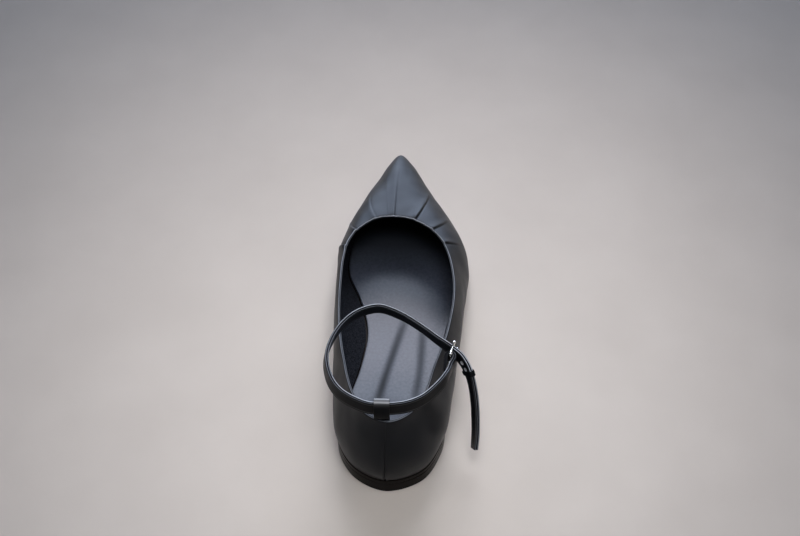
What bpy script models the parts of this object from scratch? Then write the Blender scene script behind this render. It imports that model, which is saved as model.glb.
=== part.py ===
"""Right-foot pointed ankle-strap flat: pleated upper, thin sole, low heel, ankle strap and small buckle.

The tables are in millimetres: x to the outer side of the foot, y from the back of the heel towards the
toe, z up from the floor. place() turns them into metres about the middle of the heel's rest.
"""
import math

import bmesh
import bpy
import numpy as np

# Driving sizes, in millimetres
HEEL_REST = (0.0, 24.0, 0.0)
GAP = 0.3
WALL = 1.6
HEEL_HEIGHT = 8.0
BREAST_Y = 50.0
SOLE_THICK = 3.0
SOLE_EDGE = 0.5
SOLE_CHAMFER = 0.6
TREAD_START = 138.0
TREAD_END = 188.0
TOE_Y = 256.0
TOE_SPRING = 7.0
INSOLE_THICK = 2.0
INSOLE_CLEAR = 0.5
PLATE_END_WIDTH = 3.0
STRAP_WIDTH = 8.0
STRAP_THICK = 2.2
STRAP_CHAMFER = 0.35
LOOP_X = -2.6
LOOP_WIDTH = 8.2
LOOP_THICK = 1.2
LOOP_CHAMFER = 0.2
KEEPER_LENGTH = 3.0
KEEPER_THICK = 0.6
KEEPER_CLEAR = 0.3
KEEPER_CHAMFER = 0.6
KEEPER_HOLE_CHAMFER = 0.2

# The buckle's own axes: forward along the strap end, up, and outward from the ankle
BUCKLE_BAR = np.array([33.2, 45.8, 63.05])
BUCKLE_FORWARD = np.array([0.25, 0.968, 0.0])
BUCKLE_UP = np.array([0.0, 0.0, 1.0])
BUCKLE_OUT = np.array([0.968, -0.25, 0.0])
WIRE = 1.6
FRAME_LENGTH = 8.6
FRAME_HEIGHT = 10.6
FRAME_CORNER = 1.3
PIN = 1.2
PIN_PAST_FRAME = 1.4
PIN_HOOK_START = 280.0
PIN_HOOK_END = 90.0
PIN_HOLE_START = 2.4
PIN_HOLE_END = 8.2
SLOT_INWARD = 5.0

# One row for each section round the shoe, from the back seam along the outer side to the toe and back along
# the inner side. Each is a curve from the feather edge on the sole up to the topline: rise and flare lead it
# off the feather edge, drop and reach lead it into the topline.
SECTION_COLUMNS = ("feather_x", "feather_y", "rise", "flare", "top_x", "top_y", "top_z", "drop", "reach")
SECTIONS = {
    "back seam": (-1.0, -0.3, 18.0, 6.0, -0.5, 5.8, 61.2, 18.0, 3.0),
    "outer heel curve": (19.2, 6.7, 18.0, 6.3, 12.0, 11.6, 60.4, 18.0, 4.0),
    "outer heel side": (29.5, 24.0, 17.0, 5.7, 19.5, 25.5, 57.2, 17.0, 7.3),
    "outer heel front": (32.0, 50.0, 15.0, 8.6, 25.8, 50.5, 51.8, 16.0, 9.0),
    "outer waist rear": (32.0, 78.0, 12.0, 10.8, 32.8, 77.0, 48.0, 15.0, 8.0),
    "outer waist": (34.5, 106.0, 11.0, 11.0, 36.7, 108.0, 45.0, 14.0, 7.5),
    "outer ball rear": (40.8, 130.0, 12.0, 8.0, 35.2, 130.0, 43.2, 13.0, 9.5),
    "outer ball": (44.8, 150.0, 12.0, 5.2, 31.7, 145.0, 42.0, 10.0, 12.0),
    "outer ball front": (43.0, 170.0, 11.0, 4.5, 27.2, 155.0, 41.2, 8.0, 14.5),
    "outer vamp": (36.4, 190.0, 10.0, 3.8, 21.0, 162.5, 40.6, 7.0, 18.0),
    "outer toe wall": (27.1, 209.0, 9.0, 3.0, 14.0, 168.0, 40.2, 6.0, 25.0),
    "outer toe": (17.8, 227.5, 9.0, 2.5, 7.5, 170.8, 40.0, 7.0, 32.0),
    "outer tip": (8.6, 246.0, 9.0, 2.0, 2.5, 171.8, 40.0, 8.0, 37.0),
    "toe tip": (0.2, 255.0, 9.0, 1.8, -1.5, 171.9, 40.0, 9.0, 39.0),
    "inner tip": (-7.4, 245.5, 9.0, 2.0, -5.5, 171.7, 40.0, 8.0, 37.0),
    "inner toe": (-15.8, 225.0, 9.0, 2.5, -10.5, 171.0, 40.0, 7.0, 32.0),
    "inner toe wall": (-22.3, 206.0, 9.0, 2.8, -16.5, 168.0, 40.2, 6.0, 22.0),
    "inner vamp": (-28.6, 188.0, 10.0, 3.0, -22.0, 163.0, 40.6, 7.0, 14.5),
    "inner ball front": (-32.2, 170.0, 11.0, 3.6, -26.5, 157.0, 41.0, 8.0, 10.5),
    "inner ball": (-32.0, 153.0, 12.0, 5.2, -30.0, 148.5, 41.7, 10.0, 9.5),
    "inner ball rear": (-24.0, 132.0, 11.0, 10.0, -32.0, 135.0, 43.0, 12.0, 7.5),
    "inner waist": (-18.0, 106.0, 10.0, 12.0, -32.4, 112.0, 45.0, 13.0, 7.5),
    "inner waist rear": (-20.0, 78.0, 11.0, 11.0, -31.2, 84.0, 46.5, 15.0, 7.5),
    "inner heel front": (-26.5, 48.0, 15.0, 8.4, -26.5, 53.5, 51.0, 16.0, 8.0),
    "inner heel side": (-27.5, 22.0, 17.0, 5.2, -20.0, 27.0, 56.8, 17.0, 6.3),
    "inner heel curve": (-17.1, 6.5, 18.0, 6.0, -12.5, 12.0, 60.2, 18.0, 4.0),
}

# One row for each tuck in the vamp: at counts sections from the back seam, half is its half width in
# sections, down is how much of the section it runs, lean is the side its trough lies on
TUCK_COLUMNS = ("at", "half", "height", "down", "lean")
TUCKS = {
    "outer rear": (7.0, 0.5, 0.6, 0.35, 1.0),
    "outer middle": (8.5, 0.5, 0.7, 0.40, 1.0),
    "outer front": (10.5, 0.5, 0.7, 0.40, 1.0),
    "centre": (13.0, 0.75, 0.6, 0.40, -1.0),
    "inner front": (16.0, 0.5, 0.5, 0.30, -1.0),
    "inner middle": (18.25, 0.5, 0.9, 0.40, -1.0),
    "inner rear": (19.5, 0.5, 0.9, 0.40, -1.0),
}

# One row for each stop on the strap's way from the buckle bar round the back, the inner side and the front,
# through the frame to the free end; edge is the way its top edge faces
ROUTE_COLUMNS = ("x", "y", "z", "edge_x", "edge_y", "edge_z")
ROUTE = {
    "outer side": (30.4, 31.5, 65.1, -0.08, 0.03, 0.99),
    "outer back": (25.6, 23.7, 66.3, -0.12, 0.1, 0.98),
    "back right": (18.8, 16.4, 66.9, -0.09, 0.14, 0.98),
    "loop approach": (10.6, 11.8, 67.6, -0.05, 0.17, 0.98),
    "loop right": (3.2, 10.0, 68.1, 0.0, 0.17, 0.98),
    "loop": (-2.6, 9.9, 68.2, 0.0, 0.17, 0.98),
    "loop left": (-8.4, 10.0, 68.1, 0.0, 0.17, 0.98),
    "back left": (-17.6, 13.4, 68.0, 0.08, 0.15, 0.98),
    "inner back": (-24.7, 18.2, 67.9, 0.12, 0.12, 0.98),
    "inner turn": (-29.4, 24.3, 67.6, 0.15, 0.09, 0.98),
    "inner side": (-32.8, 33.0, 67.5, 0.17, 0.04, 0.98),
    "inner widest": (-34.0, 42.5, 67.2, 0.17, 0.0, 0.98),
    "inner front": (-32.0, 54.0, 66.3, 0.17, -0.05, 0.98),
    "front left": (-27.2, 65.0, 65.4, 0.13, -0.11, 0.98),
    "front turn": (-18.8, 74.6, 64.5, 0.09, -0.15, 0.98),
    "front": (-7.0, 79.4, 63.6, 0.0, -0.17, 0.98),
    "front right": (5.0, 75.2, 63.2, -0.08, -0.15, 0.98),
    "outer front": (16.2, 67.7, 62.8, -0.1, -0.14, 0.98),
    "frame approach": (26.6, 58.6, 62.8, -0.06, -0.07, 0.99),
    "through frame": (34.7, 51.6, 62.9, 0.0, 0.0, 1.0),
    "past frame": (38.5, 48.3, 61.9, 0.2, -0.1, 0.97),
    "outward": (41.3, 45.2, 59.8, 0.42, -0.42, 0.8),
    "keeper": (43.6, 42.0, 56.3, 0.44, -0.61, 0.66),
    "bend": (45.8, 37.9, 50.3, 0.4, -0.72, 0.57),
    "hang high": (47.5, 32.3, 41.6, 0.38, -0.78, 0.51),
    "hang": (48.4, 26.8, 31.6, 0.34, -0.8, 0.49),
    "hang low": (48.6, 22.4, 24.3, 0.3, -0.82, 0.49),
    "tip": (48.4, 18.7, 17.9, 0.22, -0.84, 0.49),
}

# The strap's fold round the buckle bar, in the buckle's own axes: the tail before the turn and the layer
# that leaves it
FOLD_COLUMNS = ("forward", "up", "out")
FOLD_TAIL = {
    "tail end": (-9.5, 0.0, -1.3),
    "tail neck": (-4.5, 0.0, -1.5),
}
FOLD_LEAD = {
    "lead neck": (-4.5, 0.0, 1.6),
    "lead side": (-9.5, 0.4, 1.3),
}

# The pin's slot through the fold, a wedge that reaches less far outward where the crossing layer starts
SLOT_COLUMNS = ("forward", "outward")
SLOT = {
    "behind bar": (-3.3, 5.0),
    "past bar": (1.2, 4.6),
    "before crossing": (3.5, 2.4),
}

# The back loop's ribbon in side view, from one stem's foot in the counter over the strap to the other's
LOOP_COLUMNS = ("y", "z")
LOOP = {
    "rear foot": (9.6, 50.0),
    "rear collar": (10.7, 61.4),
    "rear stem": (6.9, 63.6),
    "rear shoulder": (8.5, 71.9),
    "rear turn": (9.3, 73.1),
    "crown": (10.8, 73.3),
    "front turn": (12.2, 72.7),
    "front shoulder": (12.7, 71.2),
    "front stem": (11.5, 63.4),
    "front collar": (12.4, 61.2),
    "front foot": (11.3, 50.0),
}

# One row for each finish
FINISH_COLUMNS = ("red", "green", "blue", "roughness", "metallic")
FINISHES = {
    "upper leather": (0.014, 0.014, 0.016, 0.45, 0.0),
    "sock leather": (0.085, 0.088, 0.100, 0.50, 0.0),
    "sole leather": (0.014, 0.012, 0.011, 0.60, 0.0),
    "heel block": (0.014, 0.012, 0.011, 0.55, 0.0),
    "loop leather": (0.014, 0.014, 0.016, 0.45, 0.0),
    "strap leather": (0.014, 0.014, 0.016, 0.40, 0.0),
    "keeper leather": (0.014, 0.014, 0.016, 0.40, 0.0),
    "frame metal": (0.780, 0.780, 0.770, 0.20, 1.0),
    "pin metal": (0.780, 0.780, 0.770, 0.20, 1.0),
}

# Resolution: columns in each section, rows up the wall, stations along the plates, steps along the strap,
# samples round the small turns
COLUMNS_EACH = 4
OUTLINE_EACH = 24
WIDTH_SAMPLES = 2000
WALL_ROWS = 12
SOLE_STATIONS = 44
HEEL_STATIONS = 16
ROUTE_STEP = 2.5
FOLD_TURNS = 8
HOLE_SIDES = 12
KEEPER_STATIONS = 5
HOOK_TURNS = 9


def place(points):
    """Millimetres from the back of the heel to metres about the heel's rest."""
    return (np.asarray(points, dtype=float) - np.array(HEEL_REST)) * 0.001


def unit(vectors):
    """Vectors of length one."""
    return vectors / np.linalg.norm(vectors, axis=-1, keepdims=True)


def columns(names, table):
    """Columns of a table of named rows, by name."""
    return dict(zip(names, np.array(list(table.values())).T))


def hermite(knots, values, at):
    """Smooth curve through values at rising knots, its slope at each knot taken from its two neighbours."""
    step = np.diff(knots)
    rate = np.diff(values, axis=0) / step[:, None]
    slope = np.empty_like(values)
    slope[0] = rate[0]
    slope[-1] = rate[-1]
    both = (step[:-1] + step[1:])[:, None]
    slope[1:-1] = (rate[:-1] * step[1:, None] + rate[1:] * step[:-1, None]) / both
    left = np.clip(np.searchsorted(knots, at, side="right") - 1, 0, len(step) - 1)
    width = step[left][:, None]
    t = (at - knots[left])[:, None] / width
    return ((2 * t ** 3 - 3 * t ** 2 + 1) * values[left] + (t ** 3 - 2 * t ** 2 + t) * width * slope[left]
            + (3 * t ** 2 - 2 * t ** 3) * values[left + 1] + (t ** 3 - t ** 2) * width * slope[left + 1])


def sole_bottom(y):
    """Height of the sole's underside: level heel seat, eased waist, flat tread on the floor, toe spring."""
    waist = np.clip((TREAD_START - y) / (TREAD_START - BREAST_Y), 0.0, 1.0)
    spring = np.clip((y - TREAD_END) / (TOE_Y - TREAD_END), 0.0, None)
    return HEEL_HEIGHT * waist ** 2 * (3.0 - 2.0 * waist) + TOE_SPRING * spring ** 2


def sections_at(index):
    """Section columns, by name, at fractional section counts from the back seam round the whole shoe."""
    table = np.array(list(SECTIONS.values()))
    column = columns(SECTION_COLUMNS, SECTIONS)
    middle_x = 0.5 * (column["feather_x"] + column["top_x"])
    middle_y = 0.5 * (column["feather_y"] + column["top_y"])
    chord = np.hypot(np.roll(middle_x, -1) - middle_x, np.roll(middle_y, -1) - middle_y)
    knots = np.concatenate(([0.0], np.cumsum(chord)))
    wrap = 3
    round_knots = np.concatenate((knots[-1 - wrap:-1] - knots[-1], knots, knots[1:wrap + 1] + knots[-1]))
    round_table = np.concatenate((table[-wrap:], table, table[:wrap + 1]))
    at = np.interp(index, np.arange(len(table) + 1), knots)
    return dict(zip(SECTION_COLUMNS, hermite(round_knots, round_table, at).T))


def outward(plan):
    """Outward direction of a closed plan outline that runs anticlockwise."""
    along = np.roll(plan, -1, axis=0) - np.roll(plan, 1, axis=0)
    return unit(np.stack((along[:, 1], -along[:, 0]), axis=1))


def tuck_height(index, up):
    """Height of the tucks: each is a raised fold with a trough beside it, fading down the section."""
    height = np.zeros((len(index), len(up)))
    for row in TUCKS.values():
        tuck = dict(zip(TUCK_COLUMNS, row))
        across = (index - tuck["at"]) / tuck["half"]
        fold = np.cos(0.5 * np.pi * np.clip(across, -1.0, 1.0)) ** 2
        trough = np.cos(0.5 * np.pi * np.clip(across - tuck["lean"], -1.0, 1.0)) ** 2
        fade = np.clip((up - 1.0 + tuck["down"]) / tuck["down"], 0.0, 1.0) ** 2
        height += tuck["height"] * np.outer(fold - 0.5 * trough, fade)
    return height


def upper_surface():
    """Outer face of the upper: columns round the shoe, rows from the feather edge to the topline."""
    index = np.arange(len(SECTIONS) * COLUMNS_EACH) / COLUMNS_EACH
    up = np.linspace(0.0, 1.0, WALL_ROWS + 1)
    row = sections_at(index)
    foot_out = outward(np.stack((row["feather_x"], row["feather_y"]), axis=1))
    top_out = outward(np.stack((row["top_x"], row["top_y"]), axis=1))
    foot_z = sole_bottom(row["feather_y"]) + SOLE_THICK + GAP
    foot = np.stack((row["feather_x"], row["feather_y"], foot_z), axis=1)
    top = np.stack((row["top_x"], row["top_y"], row["top_z"]), axis=1)
    foot_lead = foot + np.column_stack((foot_out * row["flare"][:, None], row["rise"]))
    top_lead = top + np.column_stack((top_out * row["reach"][:, None], -row["drop"]))
    t = up[None, :, None]
    grid = ((1 - t) ** 3 * foot[:, None] + 3 * (1 - t) ** 2 * t * foot_lead[:, None]
            + 3 * (1 - t) * t ** 2 * top_lead[:, None] + t ** 3 * top[:, None])
    along = np.roll(grid, -1, axis=0) - np.roll(grid, 1, axis=0)
    rising = np.gradient(grid, axis=1)
    normal = unit(np.cross(along, rising))
    return grid + normal * tuck_height(index, up)[:, :, None]


def sole_sides(offset):
    """Plan curves of the outer and inner side, offset outward from the feather edge, from heel to toe."""
    toe = list(SECTIONS).index("toe tip") * OUTLINE_EACH
    row = sections_at(np.arange(len(SECTIONS) * OUTLINE_EACH) / OUTLINE_EACH)
    plan = np.stack((row["feather_x"], row["feather_y"]), axis=1)
    plan = plan + outward(plan) * offset
    outer = plan[:toe + 1]
    inner = np.concatenate((plan[toe:], plan[:1]))[::-1]
    return outer, inner


def plate_sections(offset, low, high, stations, end=math.inf):
    """Cross-sections of a sole-shaped plate between two height functions of y, closer at both ends."""
    outer, inner = sole_sides(offset)
    fine = np.linspace(outer[0, 1], outer[-1, 1], WIDTH_SAMPLES)
    across = np.interp(fine, outer[:, 1], outer[:, 0]) - np.interp(fine, inner[:, 1], inner[:, 0])
    wide = fine[across > PLATE_END_WIDTH]
    length = min(end, wide[-1]) - wide[0]
    y = wide[0] + length * 0.5 * (1.0 - np.cos(np.linspace(0.0, np.pi, stations)))
    right = np.interp(y, outer[:, 1], outer[:, 0])
    left = np.interp(y, inner[:, 1], inner[:, 0])
    cut = np.minimum(SOLE_CHAMFER, 0.2 * (right - left))
    bottom = low(y)
    top = high(y)
    corners = ((right, bottom + cut), (right, top - cut), (right - cut, top), (left + cut, top),
               (left, top - cut), (left, bottom + cut), (left + cut, bottom), (right - cut, bottom))
    return np.stack([np.stack((x, y, z), axis=1) for x, z in corners], axis=1)


def along_path(points, edges, step):
    """Points and edge directions at even steps on a smooth path through the stops, and its knots."""
    chord = np.linalg.norm(np.diff(points, axis=0), axis=1)
    knots = np.concatenate(([0.0], np.cumsum(chord)))
    spans = [np.linspace(knots[i], knots[i + 1], max(1, round(chord[i] / step)), endpoint=False)
             for i in range(len(chord))]
    at = np.concatenate(spans + [knots[-1:]])
    return hermite(knots, np.hstack((points, edges)), at), knots


def ribbon_sections(points, edges, thick, width, chamfer):
    """Cross-sections of a flat ribbon: chamfered rectangles whose width follows the edge direction."""
    tangent = unit(np.gradient(points, axis=0))
    edge = unit(edges - np.sum(edges * tangent, axis=1, keepdims=True) * tangent)
    face = np.cross(tangent, edge)
    half_t = 0.5 * thick
    half_w = 0.5 * width
    corners = ((half_t, half_w - chamfer), (half_t - chamfer, half_w), (chamfer - half_t, half_w),
               (-half_t, half_w - chamfer), (-half_t, chamfer - half_w), (chamfer - half_t, -half_w),
               (half_t - chamfer, -half_w), (half_t, chamfer - half_w))
    return np.stack([points + face * a + edge * b for a, b in corners], axis=1)


def buckle_point(forward, up, out):
    """Point given along the buckle's own axes."""
    return BUCKLE_BAR + BUCKLE_FORWARD * forward + BUCKLE_UP * up + BUCKLE_OUT * out


def strap_path():
    """The strap's middle line and edge directions: tail, turn round the buckle bar, then the route."""
    radius = 0.5 * WIRE + GAP + 0.5 * STRAP_THICK
    turn = np.linspace(-0.5 * np.pi, 0.5 * np.pi, FOLD_TURNS + 1)
    fold = [buckle_point(**dict(zip(FOLD_COLUMNS, row))) for row in FOLD_TAIL.values()]
    fold += [buckle_point(radius * math.cos(a), 0.0, radius * math.sin(a)) for a in turn]
    fold += [buckle_point(**dict(zip(FOLD_COLUMNS, row))) for row in FOLD_LEAD.values()]
    stop = columns(ROUTE_COLUMNS, ROUTE)
    route = np.stack((stop["x"], stop["y"], stop["z"]), axis=1)
    route_edge = np.stack((stop["edge_x"], stop["edge_y"], stop["edge_z"]), axis=1)
    points = np.concatenate((np.array(fold), route))
    edges = np.concatenate((np.tile(BUCKLE_UP, (len(fold), 1)), route_edge))
    return points, edges


def clear_scene():
    """Remove every object of the open scene."""
    for item in list(bpy.data.objects):
        bpy.data.objects.remove(item, do_unlink=True)


def collection(name):
    """A collection linked to the scene."""
    group = bpy.data.collections.new(name)
    bpy.context.scene.collection.children.link(group)
    return group


def finish(name):
    """Principled material with the named row of the finish table."""
    row = dict(zip(FINISH_COLUMNS, FINISHES[name]))
    material = bpy.data.materials.new(name)
    material.use_nodes = True
    shader = material.node_tree.nodes["Principled BSDF"]
    shader.inputs["Base Color"].default_value = (row["red"], row["green"], row["blue"], 1.0)
    shader.inputs["Roughness"].default_value = row["roughness"]
    shader.inputs["Metallic"].default_value = row["metallic"]
    return material


def add_piece(name, data, group, finish_name):
    """Put a mesh or curve into a collection under a node's name, with its finish."""
    item = bpy.data.objects.new(name, data)
    group.objects.link(item)
    data.materials.append(finish(finish_name))
    return item


def smooth(mesh, angle=40.0):
    """Shade a mesh smooth, with sharp edges where its faces turn."""
    mesh.shade_smooth()
    mesh.set_sharp_from_angle(angle=math.radians(angle))


def loft_mesh(name, sections, ring=False):
    """Solid through a row of closed cross-sections, capped at both ends, or joined end to end as a ring."""
    builder = bmesh.new()
    loops = [[builder.verts.new(point) for point in place(section)] for section in sections]
    following = loops[1:] + loops[:1] if ring else loops[1:]
    for first, second in zip(loops, following):
        for i in range(len(first)):
            j = (i + 1) % len(first)
            builder.faces.new((first[i], first[j], second[j], second[i]))
    if not ring:
        builder.faces.new(loops[0])
        builder.faces.new(loops[-1])
    bmesh.ops.recalc_face_normals(builder, faces=builder.faces)
    mesh = bpy.data.meshes.new(name)
    builder.to_mesh(mesh)
    builder.free()
    smooth(mesh)
    return mesh


def surface_mesh(name, grid):
    """Open surface from a grid whose columns close round on themselves."""
    count, rows = grid.shape[:2]
    builder = bmesh.new()
    verts = [[builder.verts.new(point) for point in column] for column in place(grid)]
    for i in range(count):
        j = (i + 1) % count
        for k in range(rows - 1):
            builder.faces.new((verts[i][k], verts[j][k], verts[j][k + 1], verts[i][k + 1]))
    mesh = bpy.data.meshes.new(name)
    builder.to_mesh(mesh)
    builder.free()
    smooth(mesh, 60.0)
    return mesh


def wire_curve(name, points, diameter, closed):
    """Round wire along a row of points."""
    curve = bpy.data.curves.new(name, "CURVE")
    curve.dimensions = "3D"
    curve.bevel_depth = 0.0005 * diameter
    curve.bevel_resolution = 2
    curve.use_fill_caps = not closed
    spline = curve.splines.new("POLY")
    spline.points.add(len(points) - 1)
    spline.use_cyclic_u = closed
    for knot, point in zip(spline.points, place(points)):
        knot.co = (*point, 1.0)
    return curve


def cut(item, name, sections, cutters):
    """Take the solid through a row of cross-sections out of an object."""
    cutter = bpy.data.objects.new(name, loft_mesh(name, sections))
    cutters.objects.link(cutter)
    cutter.hide_render = True
    cutter.display_type = "WIRE"
    boolean = item.modifiers.new("cut " + name, "BOOLEAN")
    boolean.operation = "DIFFERENCE"
    boolean.solver = "EXACT"
    boolean.object = cutter


def build_upper(group):
    """Hollow leather upper: one wall, open at the topline and underneath."""
    item = add_piece("upper", surface_mesh("upper", upper_surface()), group, "upper leather")
    wall = item.modifiers.new("wall", "SOLIDIFY")
    wall.thickness = 0.001 * WALL
    wall.offset = -1.0
    wall.use_even_offset = True


def build_soles(group):
    """Outsole, heel block and insole, all from the feather edge's outline."""
    outsole = plate_sections(SOLE_EDGE, sole_bottom, lambda y: sole_bottom(y) + SOLE_THICK, SOLE_STATIONS)
    add_piece("outsole", loft_mesh("outsole", outsole), group, "sole leather")
    heel_top = HEEL_HEIGHT - GAP
    heel = plate_sections(SOLE_EDGE, np.zeros_like, lambda y: np.full_like(y, heel_top), HEEL_STATIONS,
                          BREAST_Y)
    add_piece("heel", loft_mesh("heel", heel), group, "heel block")
    seat = SOLE_THICK + GAP
    sock = seat + INSOLE_THICK
    insole = plate_sections(-WALL - INSOLE_CLEAR, lambda y: sole_bottom(y) + seat,
                            lambda y: sole_bottom(y) + sock, SOLE_STATIONS)
    add_piece("insole", loft_mesh("insole", insole), group, "sock leather")


def build_loop(group):
    """Leather tab folded over the strap at the back, its two stems inside the counter."""
    path = columns(LOOP_COLUMNS, LOOP)
    points = np.stack((np.full(len(LOOP), LOOP_X), path["y"], path["z"]), axis=1)
    edges = np.tile((1.0, 0.0, 0.0), (len(points), 1))
    sections = ribbon_sections(points, edges, LOOP_THICK, LOOP_WIDTH, LOOP_CHAMFER)
    add_piece("heel_loop", loft_mesh("heel_loop", sections), group, "loop leather")


def build_strap(group, cutters):
    """One strap with the pin's slot at its fold and the hole that the pin goes through."""
    rows, _ = along_path(*strap_path(), ROUTE_STEP)
    sections = ribbon_sections(rows[:, 0:3], rows[:, 3:6], STRAP_THICK, STRAP_WIDTH, STRAP_CHAMFER)
    strap = add_piece("ankle_strap", loft_mesh("ankle_strap", sections), group, "strap leather")
    half = 0.5 * PIN + GAP
    wedge = columns(SLOT_COLUMNS, SLOT)
    slot = [[buckle_point(forward, up, out) for up, out in
             ((-half, -SLOT_INWARD), (half, -SLOT_INWARD), (half, far), (-half, far))]
            for forward, far in zip(wedge["forward"], wedge["outward"])]
    cut(strap, "pin slot", slot, cutters)
    pin_out = 0.5 * WIRE + GAP + 0.5 * PIN
    turn = np.linspace(0.0, 2.0 * np.pi, HOLE_SIDES, endpoint=False)
    hole = [[buckle_point(forward, half * math.sin(a), pin_out + half * math.cos(a)) for a in turn]
            for forward in (PIN_HOLE_START, PIN_HOLE_END)]
    cut(strap, "pin hole", hole, cutters)


def build_keeper(group):
    """Leather ring round the strap's free end, bent and twisted as the strap is."""
    stops, edges = strap_path()
    knots = along_path(stops, edges, ROUTE_STEP)[1]
    middle = knots[len(stops) - len(ROUTE) + list(ROUTE).index("keeper")]
    reach = np.linspace(-0.5, 0.5, KEEPER_STATIONS) * KEEPER_LENGTH
    near = hermite(knots, np.hstack((stops, edges)), middle + reach)
    hole = 2.0 * KEEPER_CLEAR
    full = hole + 2.0 * KEEPER_THICK
    inner = ribbon_sections(near[:, 0:3], near[:, 3:6], STRAP_THICK + hole, STRAP_WIDTH + hole,
                            KEEPER_HOLE_CHAMFER)
    outer = ribbon_sections(near[:, 0:3], near[:, 3:6], STRAP_THICK + full, STRAP_WIDTH + full,
                            KEEPER_CHAMFER)
    rings = list(outer) + list(inner[::-1])
    add_piece("strap_keeper", loft_mesh("strap_keeper", rings, ring=True), group, "keeper leather")


def build_buckle(group):
    """Rectangular wire frame hung on the strap's fold, and the pin hooked on its bar."""
    half_l = 0.5 * FRAME_LENGTH
    half_h = 0.5 * FRAME_HEIGHT
    corner_arc = np.array((0.0, 30.0, 60.0, 90.0))
    frame = []
    for side, level, start in ((1, 1, 0.0), (-1, 1, 90.0), (-1, -1, 180.0), (1, -1, 270.0)):
        for angle in np.radians(start + corner_arc):
            forward = half_l + side * (half_l - FRAME_CORNER) + FRAME_CORNER * math.cos(angle)
            up = level * (half_h - FRAME_CORNER) + FRAME_CORNER * math.sin(angle)
            frame.append(buckle_point(forward, up, 0.0))
    add_piece("buckle_frame", wire_curve("buckle_frame", frame, WIRE, True), group, "frame metal")
    reach = 0.5 * WIRE + GAP + 0.5 * PIN
    hook_angles = np.radians(np.linspace(PIN_HOOK_START, PIN_HOOK_END, HOOK_TURNS + 1))
    hook = [buckle_point(reach * math.cos(a), 0.0, reach * math.sin(a)) for a in hook_angles]
    hook.append(buckle_point(FRAME_LENGTH + PIN_PAST_FRAME, 0.0, reach))
    add_piece("buckle_prong", wire_curve("buckle_prong", hook, PIN, False), group, "pin metal")


def main():
    """Build every piece of the shoe."""
    clear_scene()
    parts = collection("ankle_strap_flat")
    cutters = collection("cutters")
    build_upper(parts)
    build_soles(parts)
    build_loop(parts)
    build_strap(parts, cutters)
    build_keeper(parts)
    build_buckle(parts)


main()
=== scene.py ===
"""Looks of a right-foot pointed ankle-strap flat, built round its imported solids.

Tables and sizes are in millimetres in the shoe's own axes: x to the outer side of the foot, y from the
back of the heel towards the toe, z up from the floor. to_row() turns them into the frame's metres. The
stage is in metres.
"""

import logging
import math
from dataclasses import dataclass, field
from enum import Enum

import bpy
import numpy as np
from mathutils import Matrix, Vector


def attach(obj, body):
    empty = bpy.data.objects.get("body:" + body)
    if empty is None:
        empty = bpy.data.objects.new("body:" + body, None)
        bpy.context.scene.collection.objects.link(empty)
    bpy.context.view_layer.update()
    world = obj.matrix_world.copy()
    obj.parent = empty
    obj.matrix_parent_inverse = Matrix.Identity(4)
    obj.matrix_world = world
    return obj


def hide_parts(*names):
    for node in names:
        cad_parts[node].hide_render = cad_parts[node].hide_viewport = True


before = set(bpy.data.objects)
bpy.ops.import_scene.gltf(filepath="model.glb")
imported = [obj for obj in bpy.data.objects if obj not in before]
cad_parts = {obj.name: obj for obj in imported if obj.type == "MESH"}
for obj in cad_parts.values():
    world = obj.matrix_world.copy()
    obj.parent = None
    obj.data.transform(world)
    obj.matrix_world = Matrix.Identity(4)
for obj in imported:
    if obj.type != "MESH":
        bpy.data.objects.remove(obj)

LOG = logging.getLogger("ankle_strap_flat")
BODY = "root"
MILLIMETRE = 0.001
HEEL_REST = np.array((0.0, 24.0, 0.0))
UP = np.array((0.0, 0.0, 1.0))
# Angle in degrees from which an edge between two faces stays sharp
SHARP_ANGLE = 45.0
# Where most of a noise's values lie
NOISE_RANGE = (0.3, 0.7)
# Places of the mix node's sockets for colours
MIX_SHARE = 0
MIX_FIRST = 6
MIX_SECOND = 7
MIX_RESULT = 2

Array = np.ndarray
Socket = bpy.types.NodeSocket
Pair = tuple[float, float]
Triple = tuple[float, float, float]
Colour = Triple

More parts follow.
